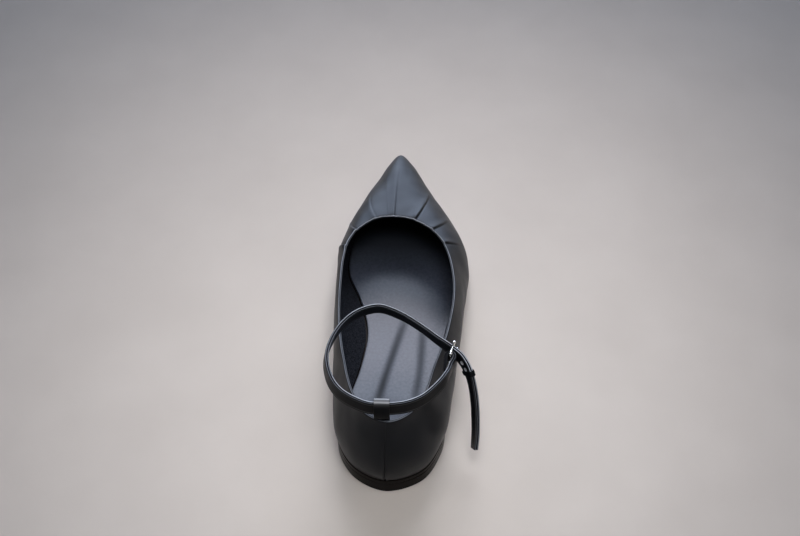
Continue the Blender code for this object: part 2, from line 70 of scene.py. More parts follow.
# One row for each section round the shoe, from the back seam along the outer side to the toe and back
# along the inner side. A section is a curve from the feather edge on the sole, led off by rise and flare,
# to the topline, led in by drop and reach.
SECTION_COLUMNS = ("feather_x", "feather_y", "rise", "flare", "top_x", "top_y", "top_z", "drop", "reach")
SECTIONS = {
    "back seam": (-1.0, -0.3, 18.0, 6.0, -0.5, 5.8, 61.2, 18.0, 3.0),
    "outer heel curve": (19.2, 6.7, 18.0, 6.3, 12.0, 11.6, 60.4, 18.0, 4.0),
    "outer heel side": (29.5, 24.0, 17.0, 5.7, 19.5, 25.5, 57.2, 17.0, 7.3),
    "outer heel front": (32.0, 50.0, 15.0, 8.6, 25.8, 50.5, 51.8, 16.0, 9.0),
    "outer waist rear": (32.0, 78.0, 12.0, 10.8, 32.8, 77.0, 48.0, 15.0, 8.0),
    "outer waist": (34.5, 106.0, 11.0, 11.0, 36.7, 108.0, 45.0, 14.0, 7.5),
    "outer ball rear": (40.8, 130.0, 12.0, 8.0, 35.2, 130.0, 43.2, 13.0, 9.5),
    "outer ball": (44.8, 150.0, 12.0, 5.2, 31.7, 145.0, 42.0, 10.0, 12.0),
    "outer ball front": (43.0, 170.0, 11.0, 4.5, 27.2, 155.0, 41.2, 8.0, 14.5),
    "outer vamp": (36.4, 190.0, 10.0, 3.8, 21.0, 162.5, 40.6, 7.0, 18.0),
    "outer toe wall": (27.1, 209.0, 9.0, 3.0, 14.0, 168.0, 40.2, 6.0, 25.0),
    "outer toe": (17.8, 227.5, 9.0, 2.5, 7.5, 170.8, 40.0, 7.0, 32.0),
    "outer tip": (8.6, 246.0, 9.0, 2.0, 2.5, 171.8, 40.0, 8.0, 37.0),
    "toe tip": (0.2, 255.0, 9.0, 1.8, -1.5, 171.9, 40.0, 9.0, 39.0),
    "inner tip": (-7.4, 245.5, 9.0, 2.0, -5.5, 171.7, 40.0, 8.0, 37.0),
    "inner toe": (-15.8, 225.0, 9.0, 2.5, -10.5, 171.0, 40.0, 7.0, 32.0),
    "inner toe wall": (-22.3, 206.0, 9.0, 2.8, -16.5, 168.0, 40.2, 6.0, 22.0),
    "inner vamp": (-28.6, 188.0, 10.0, 3.0, -22.0, 163.0, 40.6, 7.0, 14.5),
    "inner ball front": (-32.2, 170.0, 11.0, 3.6, -26.5, 157.0, 41.0, 8.0, 10.5),
    "inner ball": (-32.0, 153.0, 12.0, 5.2, -30.0, 148.5, 41.7, 10.0, 9.5),
    "inner ball rear": (-24.0, 132.0, 11.0, 10.0, -32.0, 135.0, 43.0, 12.0, 7.5),
    "inner waist": (-18.0, 106.0, 10.0, 12.0, -32.4, 112.0, 45.0, 13.0, 7.5),
    "inner waist rear": (-20.0, 78.0, 11.0, 11.0, -31.2, 84.0, 46.5, 15.0, 7.5),
    "inner heel front": (-26.5, 48.0, 15.0, 8.4, -26.5, 53.5, 51.0, 16.0, 8.0),
    "inner heel side": (-27.5, 22.0, 17.0, 5.2, -20.0, 27.0, 56.8, 17.0, 6.3),
    "inner heel curve": (-17.1, 6.5, 18.0, 6.0, -12.5, 12.0, 60.2, 18.0, 4.0),
}

# One row for each tuck in the vamp. at and end count sections from the back seam, at the topline and where
# the tuck fades out; height is its crest's, down is the share of the section that it runs down. All fall
# towards the outer side.
TUCK_COLUMNS = ("at", "end", "height", "down")
TUCKS = {
    "outer rear": (7.4, 7.8, 0.9, 0.42),
    "outer middle": (8.8, 9.3, 1.1, 0.55),
    "outer front": (10.45, 10.75, 1.15, 0.66),
    "centre": (13.1, 13.0, 0.7, 0.56),
    "inner front": (15.55, 14.95, 0.5, 0.60),
    "inner middle": (17.75, 16.7, 1.1, 0.60),
    "inner rear": (19.3, 18.3, 1.2, 0.62),
}

# One row for each stop on the strap's way from the buckle bar round the back, the inner side and the front,
# through the frame to the free end; edge is the way its top edge faces
ROUTE_COLUMNS = ("x", "y", "z", "edge_x", "edge_y", "edge_z")
ROUTE = {
    "outer side": (30.4, 31.5, 65.1, -0.08, 0.03, 0.99),
    "outer back": (25.6, 23.7, 66.3, -0.12, 0.1, 0.98),
    "back right": (18.8, 16.4, 66.9, -0.09, 0.14, 0.98),
    "loop approach": (10.6, 11.8, 67.6, -0.05, 0.17, 0.98),
    "loop right": (3.2, 10.0, 68.1, 0.0, 0.17, 0.98),
    "loop": (-2.6, 9.9, 68.2, 0.0, 0.17, 0.98),
    "loop left": (-8.4, 10.0, 68.1, 0.0, 0.17, 0.98),
    "back left": (-17.6, 13.4, 68.0, 0.08, 0.15, 0.98),
    "inner back": (-24.7, 18.2, 67.9, 0.12, 0.12, 0.98),
    "inner turn": (-29.4, 24.3, 67.6, 0.15, 0.09, 0.98),
    "inner side": (-32.8, 33.0, 67.5, 0.17, 0.04, 0.98),
    "inner widest": (-34.0, 42.5, 67.2, 0.17, 0.0, 0.98),
    "inner front": (-32.0, 54.0, 66.3, 0.17, -0.05, 0.98),
    "front left": (-27.2, 65.0, 65.4, 0.13, -0.11, 0.98),
    "front turn": (-18.8, 74.6, 64.5, 0.09, -0.15, 0.98),
    "front": (-7.0, 79.4, 63.6, 0.0, -0.17, 0.98),
    "front right": (5.0, 75.2, 63.2, -0.08, -0.15, 0.98),
    "outer front": (16.2, 67.7, 62.8, -0.1, -0.14, 0.98),
    "frame approach": (26.6, 58.6, 62.8, -0.06, -0.07, 0.99),
    "through frame": (34.7, 51.6, 62.9, 0.0, 0.0, 1.0),
    "past frame": (38.5, 48.3, 61.9, 0.2, -0.1, 0.97),
    "outward": (41.3, 45.2, 59.8, 0.42, -0.42, 0.8),
    "keeper": (43.6, 42.0, 56.3, 0.44, -0.61, 0.66),
    "bend": (45.8, 37.9, 50.3, 0.4, -0.72, 0.57),
    "hang high": (47.5, 32.3, 41.6, 0.38, -0.78, 0.51),
    "hang": (48.4, 26.8, 31.6, 0.34, -0.8, 0.49),
    "hang low": (48.6, 22.4, 24.3, 0.3, -0.82, 0.49),
    "tip": (48.4, 18.7, 17.9, 0.22, -0.84, 0.49),
}

# The strap's fold round the buckle bar, in the buckle's own axes: the tail before the turn, and the layer
# that leaves it
FOLD_COLUMNS = ("forward", "up", "out")
FOLD_TAIL = {
    "tail end": (-9.5, 0.0, -1.3),
    "tail neck": (-4.5, 0.0, -1.5),
}
FOLD_LEAD = {
    "lead neck": (-4.5, 0.0, 1.6),
    "lead side": (-9.5, 0.4, 1.3),
}

# The back loop's ribbon in side view, from one stem's foot in the counter over the strap to the other's
LOOP_COLUMNS = ("y", "z")
LOOP = {
    "rear foot": (9.6, 50.0),
    "rear collar": (10.7, 61.4),
    "rear stem": (6.9, 63.6),
    "rear shoulder": (8.5, 71.9),
    "rear turn": (9.3, 73.1),
    "crown": (10.8, 73.3),
    "front turn": (12.2, 72.7),
    "front shoulder": (12.7, 71.2),
    "front stem": (11.5, 63.4),
    "front collar": (12.4, 61.2),
    "front foot": (11.3, 50.0),
}

# The two soft troughs along the sock, each from under the instep back to the heel; their depth share also
# sets the painted shade in them
TROUGH_COLUMNS = ("x", "y", "share")
INNER_TROUGH = {
    "front": (8.5, 122.0, 0.0),
    "instep": (6.3, 112.6, 0.5),
    "waist": (2.0, 93.8, 0.8),
    "seat": (-1.6, 77.4, 0.9),
    "heel": (-6.6, 53.2, 0.9),
    "back": (-9.0, 36.0, 0.0),
}
OUTER_TROUGH = {
    "front": (18.2, 114.0, 0.0),
    "instep": (18.0, 103.6, 0.5),
    "waist": (17.6, 88.5, 0.7),
    "seat": (16.9, 74.1, 0.7),
    "heel": (14.9, 56.7, 0.7),
    "back": (12.5, 40.0, 0.0),
}

# The columns round the upper, as section counts from start to end by that step: closest at the back seam and
# over the tucks. The gap keeps a stretch from repeating the first column of the next.
STRETCH_GAP = 1e-6
COLUMN_STRETCHES = {
    "seam, outer side": (0.0, 0.24, 0.012),
    "outer quarter": (0.24, 6.0, 0.07),
    "vamp": (6.0, 20.4, 0.028),
    "inner quarter": (20.4, 25.76, 0.07),
    "seam, inner side": (25.76, 26.0, 0.012),
}

# The leather's slight waves: a share, then the radians for each millimetre along x, y and z of two sines
WAVES = {
    "broad": (1.0, (0.19, 0.11, 0.0), (0.0, 0.05, 0.23)),
    "close": (0.6, (-0.17, 0.31, 0.0), (0.13, 0.0, 0.29)),
}


class Slot(Enum):
    """The record's material slots."""

    UPPER = "upper_leather"
    SOCK = "sock_leather"
    SOLE = "sole"
    STRAP = "strap_leather"
    METAL = "buckle_metal"


def unit(vectors: Array) -> Array:
    """Vectors of length one along the last axis."""
    return vectors / np.linalg.norm(vectors, axis=-1, keepdims=True)


def bell(distance: Array, width: float) -> Array:
    """Bell curve of height one: e to the minus square of distance over width."""
    return np.exp(-(distance / width) ** 2)


def columns(names: tuple[str, ...], table: dict[str, tuple[float, ...]]) -> dict[str, Array]:
    """Columns of a table of named rows.

    Args:
        names: The columns' names.
        table: The rows by name.

    Returns:
        Each column as an array, by name.
    """
    return dict(zip(names, np.array(list(table.values())).T))


def hermite(knots: Array, values: Array, at: Array) -> Array:
    """Smooth curve through values: cubic pieces, each knot's slope the mean rate of its two neighbours.

    Args:
        knots: Rising parameter values, one for each row of values.
        values: Points that the curve goes through.
        at: Parameter values to read.

    Returns:
        One row for each parameter value.
    """
    step = np.diff(knots)
    rate = np.diff(values, axis=0) / step[:, None]
    slope = np.empty_like(values)
    slope[0] = rate[0]
    slope[-1] = rate[-1]
    both = (step[:-1] + step[1:])[:, None]
    slope[1:-1] = (rate[:-1] * step[1:, None] + rate[1:] * step[:-1, None]) / both
    left = np.clip(np.searchsorted(knots, at, side="right") - 1, 0, len(step) - 1)
    width = step[left][:, None]
    t = (at - knots[left])[:, None] / width
    return ((2 * t ** 3 - 3 * t ** 2 + 1) * values[left] + (t ** 3 - 2 * t ** 2 + t) * width * slope[left]
            + (3 * t ** 2 - 2 * t ** 3) * values[left + 1] + (t ** 3 - t ** 2) * width * slope[left + 1])


def to_row(points: Array) -> Array:
    """Shoe millimetres to the frame's metres about the heel's rest."""
    return (points - HEEL_REST) * MILLIMETRE


def chord_knots(points: Array) -> Array:
    """Running length of the straight chords between points."""
    chord = np.linalg.norm(np.diff(points, axis=0), axis=1)
    return np.concatenate(([0.0], np.cumsum(chord)))


def ring_step(values: Array) -> Array:
    """From the neighbour before to the neighbour after, round a ring along the first axis."""
    return np.roll(values, -1, axis=0) - np.roll(values, 1, axis=0)


def rounded_rectangle(turns: int, side: int, top: int) -> tuple[Array, ...]:
    """Points round a rectangle with round corners, anticlockwise from its lower right corner.

    The half from there to the end of the top is written out; the other half is its negative.

    Args:
        turns: Points round each corner.
        side: Points up each side, between the corners.
        top: Points across the top and across the bottom, between the corners.

    Returns:
        Place across and up, from -1 to 1 between the middles of the corners, then the outward direction
        across and up.
    """
    turn = np.linspace(0.0, 0.5 * np.pi, turns)
    climb = np.linspace(-1.0, 1.0, side + 2)[1:-1]
    walk = np.linspace(1.0, -1.0, top + 2)[1:-1]
    corner = np.ones(turns)
    wall = np.ones(side)
    roof = np.ones(top)
    across = np.concatenate((corner, wall, corner, walk))
    up = np.concatenate((-corner, climb, corner, roof))
    out_across = np.concatenate((np.sin(turn), wall, np.cos(turn), 0.0 * roof))
    out_up = np.concatenate((-np.cos(turn), 0.0 * wall, np.sin(turn), roof))
    return tuple(np.concatenate((half, -half)) for half in (across, up, out_across, out_up))


@dataclass
class Grid:
    """A surface as a grid of points: columns along the first axis, rows along the second.

    Attributes:
        points: Shoe millimetres, columns by rows by three.
        ring_columns: Whether the last column joins the first.
        ring_rows: Whether the last row joins the first.
        caps: Whether the first and last column are closed by a face.
        marks: Named values for the finishes, one for each point or one for each row.
        slots: Material slot of each quad along a column, where not all take the first; caps always do.
    """

    points: Array
    ring_columns: bool = False
    ring_rows: bool = False
    caps: bool = False
    marks: dict[str, Array] = field(default_factory=dict)
    slots: Array | None = None

    def faces(self) -> list[list[int]]:
        """Number the corners of the quads between neighbouring columns and rows, and of the caps.

        Returns:
            The corner numbers of each face.
        """
        count, rows = self.points.shape[:2]
        i = np.arange(count if self.ring_columns else count - 1)
        j = np.arange(rows if self.ring_rows else rows - 1)
        i, j = np.meshgrid(i, j, indexing="ij")
        next_i = (i + 1) % count
        next_j = (j + 1) % rows
        corners = (i * rows + j, next_i * rows + j, next_i * rows + next_j, i * rows + next_j)
        found = np.stack(corners, axis=-1).reshape(-1, 4).tolist()
        if self.caps:
            first = list(range(rows))
            last = [(count - 1) * rows + k for k in reversed(range(rows))]
            found += [first, last]
        return found

    def mesh(self, name: str) -> bpy.types.Mesh:
        """Turn the grid into a smooth-shaded mesh.

        Args:
            name: The mesh's name.

        Returns:
            The mesh, with the marks as point attributes.
        """
        made = bpy.data.meshes.new(name)
        made.from_pydata(to_row(self.points).reshape(-1, 3).tolist(), [], self.faces())
        for mark, values in self.marks.items():
            layer = made.attributes.new(mark, "FLOAT", "POINT")
            spread = np.broadcast_to(values, self.points.shape[:2])
            layer.data.foreach_set("value", spread.astype(np.float32).ravel())
        made.validate()
        made.shade_smooth()
        made.set_sharp_from_angle(angle=math.radians(SHARP_ANGLE))
        if self.slots is not None:
            quads = len(made.polygons) - (2 if self.caps else 0)
            chosen = np.zeros(len(made.polygons), np.int32)
            chosen[:quads] = np.tile(self.slots, quads // len(self.slots))
            made.polygons.foreach_set("material_index", chosen)
        return made


class NodeBook:
    """Short calls that put nodes round the one shader of a material or a world."""

    def __init__(self, owner: bpy.types.Material | bpy.types.World, shader: str = "Principled BSDF") -> None:
        """Start on a new material or world.

        Args:
            owner: The material or the world.
            shader: Name of its one shader node.
        """
        owner.use_nodes = True
        self.owner = owner
        self.tree = owner.node_tree
        self.shader = self.tree.nodes[shader]

    def feed(self, target: Socket, value: object) -> None:
        """Join another node's socket to an input, or set the input to a constant.

        Args:
            target: The input.
            value: The socket or the constant.
        """
        if isinstance(value, Socket):
            self.tree.links.new(value, target)
        else:
            target.default_value = value

    def add(self, kind: str, values: dict[str | int, object] | None = None,
            **settings: object) -> bpy.types.Node:
        """Add a node.

        Args:
            kind: The node's type without its common prefix.
            values: Sockets or constants for its inputs, by their name or place.
            settings: The node's own properties.

        Returns:
            The node.
        """
        node = self.tree.nodes.new("ShaderNode" + kind)
        for key, value in settings.items():
            setattr(node, key, value)
        for key, value in (values or {}).items():
            self.feed(node.inputs[key], value)
        return node

    def fix(self, **values: object) -> None:
        """Give a socket or a constant to the shader's inputs, named with underscores for spaces."""
        for key, value in values.items():
            self.feed(self.shader.inputs[key.replace("_", " ")], value)

    def place(self) -> Socket:
        """Object coordinates, in metres."""
        return self.add("TexCoord").outputs["Object"]

    def noise(self, size: float, detail: float = 2.0, stretch: Triple | None = None) -> Socket:
        """Soft noise with features of about that size.

        Args:
            size: Feature size in millimetres.
            detail: Number of finer layers.
            stretch: Scale along each axis, where the noise isn't even.

        Returns:
            The noise's value, mostly within NOISE_RANGE.
        """
        source = self.place()
        if stretch is not None:
            source = self.add("Mapping", {"Scale": stretch, "Vector": source}).outputs["Vector"]
        values = {"Scale": 1.0 / (size * MILLIMETRE), "Detail": detail, "Vector": source}
        return self.add("TexNoise", values).outputs["Fac"]

    def cells(self, size: float) -> Socket:
        """Distance to the middle of cells of about that size in millimetres."""
        values = {"Scale": 1.0 / (size * MILLIMETRE), "Vector": self.place()}
        return self.add("TexVoronoi", values, feature="SMOOTH_F1").outputs["Distance"]

    def mark(self, name: str) -> Socket:
        """A named point value of the mesh."""
        return self.add("Attribute", attribute_name=name).outputs["Fac"]

    def spread(self, source: Socket, low: float, high: float) -> Socket:
        """Map noise from NOISE_RANGE to low and high, held at both.

        Args:
            source: The noise.
            low: Value at the start of the range.
            high: Value at its end.

        Returns:
            The mapped value.
        """
        start, end = NOISE_RANGE
        values = {"Value": source, "From Min": start, "From Max": end, "To Min": low, "To Max": high}
        return self.add("MapRange", values).outputs["Result"]

    def mix(self, share: Socket, first: Socket | Colour, second: Colour) -> Socket:
        """Blend two colours.

        Args:
            share: Share of the second, from 0 to 1.
            first: The first colour.
            second: The second colour.

        Returns:
            The blended colour.
        """
        start = first if isinstance(first, Socket) else (*first, 1.0)
        values = {MIX_SHARE: share, MIX_FIRST: start, MIX_SECOND: (*second, 1.0)}
        return self.add("Mix", values, data_type="RGBA").outputs[MIX_RESULT]

    def blend(self, share: Socket | float, first: Socket, second: Socket | float) -> Socket:
        """Blend two values by a share from 0 to 1."""
        node = self.add("Mix", {"Factor": share, "A": first, "B": second}, data_type="FLOAT")
        return node.outputs["Result"]

    def bump(self, height: Socket, depth: float) -> None:
        """Let a height from 0 to 1, times a depth in millimetres, tilt the surface."""
        node = self.add("Bump", {"Strength": 1.0, "Distance": depth * MILLIMETRE, "Height": height})
        self.fix(Normal=node.outputs["Normal"])


@dataclass(frozen=True)
class Leather:
    """A leather finish: mottled colour, pores and fine grain, and a painted highlight or painted shade where
    a mark says so.

    Attributes:
        name: The material's name.
        colour: Base colour.
        mottle: Colour of its lighter clouds.
        roughness: Lowest and highest roughness.
        pore: Size of the pores in millimetres.
        fine_size: Size of the fine grain, as a share of the pores'.
        fine_share: Share of the fine grain in the relief; the rest is pores.
        grain_depth: Depth of pores and grain in millimetres.
        gloss: Specular level.
        tint: Colour of its gloss.
        cloud: Size of the clouds in millimetres.
        painted_shading_mark: Name of the mark that says where a highlight or shade is painted, or none.
        painted_shading: Colour painted there: light for a painted highlight, dark for painted shade.
        painted_shading_roughness: Roughness there.
    """

    name: str
    colour: Colour
    mottle: Colour
    roughness: Pair
    pore: float = 0.7
    fine_size: float = 0.6
    fine_share: float = 0.7
    grain_depth: float = 0.035
    gloss: float = 0.5
    tint: Colour = (1.0, 1.0, 1.0)
    cloud: float = 14.0
    painted_shading_mark: str = ""
    painted_shading: Colour = (0.0, 0.0, 0.0)
    painted_shading_roughness: float = 0.5

    def material(self) -> bpy.types.Material:
        """Build the material: clouds vary colour and roughness, cells and fine noise give the grain.

        Returns:
            The material.
        """
        book = NodeBook(bpy.data.materials.new(self.name))
        clouds = book.noise(self.cloud, detail=3.0)
        colour = book.mix(book.spread(clouds, 0.0, 1.0), self.colour, self.mottle)
        roughness = book.spread(clouds, *self.roughness)
        # Painted highlight or painted shade: the mark blends in a colour and roughness that stand in for
        # light
        if self.painted_shading_mark:
            mark = book.mark(self.painted_shading_mark)
            colour = book.mix(mark, colour, self.painted_shading)
            roughness = book.blend(mark, roughness, self.painted_shading_roughness)
        fine = book.noise(self.fine_size * self.pore, detail=1.0)
        grain = book.blend(self.fine_share, book.cells(self.pore), fine)
        book.bump(grain, self.grain_depth)
        book.fix(Base_Color=colour, Roughness=roughness)
        book.fix(Specular_IOR_Level=self.gloss, Specular_Tint=(*self.tint, 1.0))
        return book.owner


@dataclass(frozen=True)
class Metal:
    """Polished metal with fine brushed scratches.

    Attributes:
        name: The material's name.
        colour: Reflected colour.
        roughness: Lowest and highest roughness.
        scratch: Size of the scratches in millimetres.
        stretch: Scale of the scratches along each axis.
        depth: Their depth in millimetres.
    """

    name: str
    colour: Colour
    roughness: Pair
    scratch: float = 0.4
    stretch: Triple = (1.0, 0.15, 1.0)
    depth: float = 0.006

    def material(self) -> bpy.types.Material:
        """Build the material: noise stretched along the strap gives the scratches.

        Returns:
            The material.
        """
        book = NodeBook(bpy.data.materials.new(self.name))
        scratches = book.noise(self.scratch, stretch=self.stretch)
        book.bump(scratches, self.depth)
        book.fix(Roughness=book.spread(scratches, *self.roughness))
        book.fix(Base_Color=(*self.colour, 1.0), Metallic=1.0)
        return book.owner


@dataclass(frozen=True)
class Ground:
    """Plain pale floor with faint clouds.

    Attributes:
        name: The material's name.
        colour: Base colour.
        cloud: Colour of its darker clouds.
        cloud_size: Their size in millimetres.
        roughness: Roughness.
        gloss: Specular level.
    """

    name: str
    colour: Colour
    cloud: Colour
    cloud_size: float = 60.0
    roughness: float = 0.55
    gloss: float = 0.3

    def material(self) -> bpy.types.Material:
        """Build the material: broad noise blends the two colours.

        Returns:
            The material.
        """
        book = NodeBook(bpy.data.materials.new(self.name))
        clouds = book.spread(book.noise(self.cloud_size, detail=5.0), 0.0, 1.0)
        book.fix(Base_Color=book.mix(clouds, self.colour, self.cloud))
        book.fix(Roughness=self.roughness, Specular_IOR_Level=self.gloss)
        return book.owner


UPPER_LEATHER = Leather(
    "upper_leather_black", colour=(0.0032, 0.0034, 0.0044), mottle=(0.0050, 0.0053, 0.0068),
    roughness=(0.38, 0.48), gloss=0.19, tint=(0.82, 0.90, 1.0))
LINING_LEATHER = Leather(
    "lining_nap", colour=(0.002, 0.0024, 0.004), mottle=(0.030, 0.033, 0.042),
    roughness=(0.75, 0.9), pore=0.5, grain_depth=0.08, gloss=0.05, cloud=0.9)
# Dark edge leather; its light colour on the edge mark is a painted highlight
EDGE_WITH_PAINTED_HIGHLIGHT = Leather(
    "edge_with_painted_highlight", colour=(0.004, 0.0042, 0.0052), mottle=(0.006, 0.0063, 0.0075),
    roughness=(0.50, 0.60), pore=0.4, grain_depth=0.012, gloss=0.08,
    painted_shading_mark="edge", painted_shading=(0.70, 0.74, 0.82), painted_shading_roughness=0.25)
# Grey sock leather; its dark colour on the trough mark is painted shade
SOCK_LEATHER = Leather(
    "sock_leather_grey", colour=(0.044, 0.050, 0.069), mottle=(0.074, 0.082, 0.108),
    roughness=(0.29, 0.35), pore=1.0, grain_depth=0.035, gloss=0.45, tint=(0.86, 0.92, 1.0), cloud=1.6,
    painted_shading_mark="trough", painted_shading=(0.006, 0.007, 0.010), painted_shading_roughness=0.65)
SOLE_LEATHER = Leather(
    "sole_leather_dark", colour=(0.0046, 0.0031, 0.0025), mottle=(0.0074, 0.0050, 0.0040),
    roughness=(0.18, 0.28), pore=0.4, grain_depth=0.012, gloss=0.04)
HEEL_LEATHER = Leather(
    "heel_stack_dark", colour=(0.0042, 0.0028, 0.0023), mottle=(0.0064, 0.0043, 0.0035),
    roughness=(0.18, 0.28), pore=0.4, grain_depth=0.012, gloss=0.04)
# Black strap leather; its light colour on the edge mark is a painted highlight on edges, pressed lines, hole
# rims, keeper and loop
STRAP_LEATHER = Leather(
    "strap_leather_black", colour=(0.0030, 0.0032, 0.0040), mottle=(0.0048, 0.0051, 0.0062),
    roughness=(0.36, 0.46), pore=0.6, grain_depth=0.03, gloss=0.09,
    painted_shading_mark="edge", painted_shading=(0.75, 0.75, 0.77), painted_shading_roughness=0.30)
SILVER = Metal("buckle_silver", colour=(0.80, 0.80, 0.79), roughness=(0.10, 0.22))
PALE_FLOOR = Ground("pale_floor", colour=(0.660, 0.590, 0.525), cloud=(0.620, 0.552, 0.490))


def put(name: str, data: bpy.types.ID) -> bpy.types.Object:
    """Put an object into the scene.

    Args:
        name: The object's name.
        data: Its mesh, lamp or camera.

    Returns:
        The object.
    """
    item = bpy.data.objects.new(name, data)
    bpy.context.scene.collection.objects.link(item)
    return item


def add_piece(name: str, grid: Grid, finishes: list[Leather | Metal], slot: Slot, *nodes: str) -> None:
    """Put a dressed surface into the scene in place of solid nodes.

    Args:
        name: The piece's name.
        grid: Its surface.
        finishes: Its finishes, in the order of its material slots.
        slot: The record's slot that it takes its finish from; not used.
        nodes: The nodes that it stands for.
    """
    mesh = grid.mesh(name)
    item = put(name, mesh)
    for finish in finishes:
        mesh.materials.append(finish.material())
    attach(item, BODY)
    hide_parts(*nodes)
    LOG.info("%s: %d faces for %s", name, len(mesh.polygons), ", ".join(nodes))


@dataclass(frozen=True)
class Last:
    """The form that the shoe is made on, with the heights of its sole."""

    wall: float = 1.6
    gap: float = 0.3
    heel_height: float = 8.0
    breast_y: float = 50.0
    sole_thick: float = 3.0
    tread_start: float = 138.0
    tread_end: float = 188.0
    toe_y: float = 256.0
    toe_spring: float = 7.0
    outline_each: int = 24

    def sole_bottom(self, y: Array) -> Array:
        """Height of the sole's underside: level heel seat, eased waist, flat tread, square-law toe spring.

        Args:
            y: Places along the shoe.

        Returns:
            The height at each.
        """
        waist = np.clip((self.tread_start - y) / (self.tread_start - self.breast_y), 0.0, 1.0)
        spring = np.clip((y - self.tread_end) / (self.toe_y - self.tread_end), 0.0, None)
        return self.heel_height * waist ** 2 * (3.0 - 2.0 * waist) + self.toe_spring * spring ** 2

    def seat(self, y: Array) -> Array:
        """Height at which upper and insole start, a gap above the sole."""
        return self.sole_bottom(y) + self.sole_thick + self.gap

    def sections_at(self, index: Array) -> dict[str, Array]:
        """Section columns at fractional section counts, on a closed smooth curve round the shoe.

        Args:
            index: Section counts from the back seam.

        Returns:
            Each column's values, by name.
        """
        table = np.array(list(SECTIONS.values()))
        column = columns(SECTION_COLUMNS, SECTIONS)
        middle_x = 0.5 * (column["feather_x"] + column["top_x"])
        middle_y = 0.5 * (column["feather_y"] + column["top_y"])
        middle = np.stack((middle_x, middle_y), axis=1)
        knots = chord_knots(np.concatenate((middle, middle[:1])))
        wrap = 3
        before = knots[-1 - wrap:-1] - knots[-1]
        after = knots[1:wrap + 1] + knots[-1]
        round_knots = np.concatenate((before, knots, after))
        round_table = np.concatenate((table[-wrap:], table, table[:wrap + 1]))
        at = np.interp(index, np.arange(len(table) + 1), knots)
        return dict(zip(SECTION_COLUMNS, hermite(round_knots, round_table, at).T))

    @staticmethod
    def outward(plan: Array) -> Array:
        """Outward direction of a closed plan outline that runs anticlockwise."""
        along = ring_step(plan)
        return unit(np.stack((along[:, 1], -along[:, 0]), axis=1))

    def surface(self, index: Array, up: Array) -> tuple[Array, Array]:
        """Outer face of the smooth upper: each section is a cubic curve from feather edge to topline.

        Args:
            index: Section counts of the columns.
            up: Share of the way up of the rows, from 0 to 1.

        Returns:
            The grid of points and the grid of outward normals.
        """
        row = self.sections_at(index)
        foot_plan = np.stack((row["feather_x"], row["feather_y"]), axis=1)
        top_plan = np.stack((row["top_x"], row["top_y"]), axis=1)
        foot = np.column_stack((foot_plan, self.seat(row["feather_y"])))
        top = np.column_stack((top_plan, row["top_z"]))
        foot_lead = foot + np.column_stack((self.outward(foot_plan) * row["flare"][:, None], row["rise"]))
        top_lead = top + np.column_stack((self.outward(top_plan) * row["reach"][:, None], -row["drop"]))
        t = up[None, :, None]
        grid = ((1 - t) ** 3 * foot[:, None] + 3 * (1 - t) ** 2 * t * foot_lead[:, None]
                + 3 * (1 - t) * t ** 2 * top_lead[:, None] + t ** 3 * top[:, None])
        return grid, unit(np.cross(ring_step(grid), np.gradient(grid, axis=1)))

    def sides(self, offset: float) -> tuple[Array, Array]:
        """Plan curves of both sides, offset outward from the feather edge, from heel to toe.

        Args:
            offset: How far they stand out.

        Returns:
            The outer and the inner side.
        """
        toe = list(SECTIONS).index("toe tip") * self.outline_each
        row = self.sections_at(np.arange(len(SECTIONS) * self.outline_each) / self.outline_each)
        plan = np.stack((row["feather_x"], row["feather_y"]), axis=1)
        plan = plan + self.outward(plan) * offset
        return plan[:toe + 1], np.concatenate((plan[toe:], plan[:1]))[::-1]


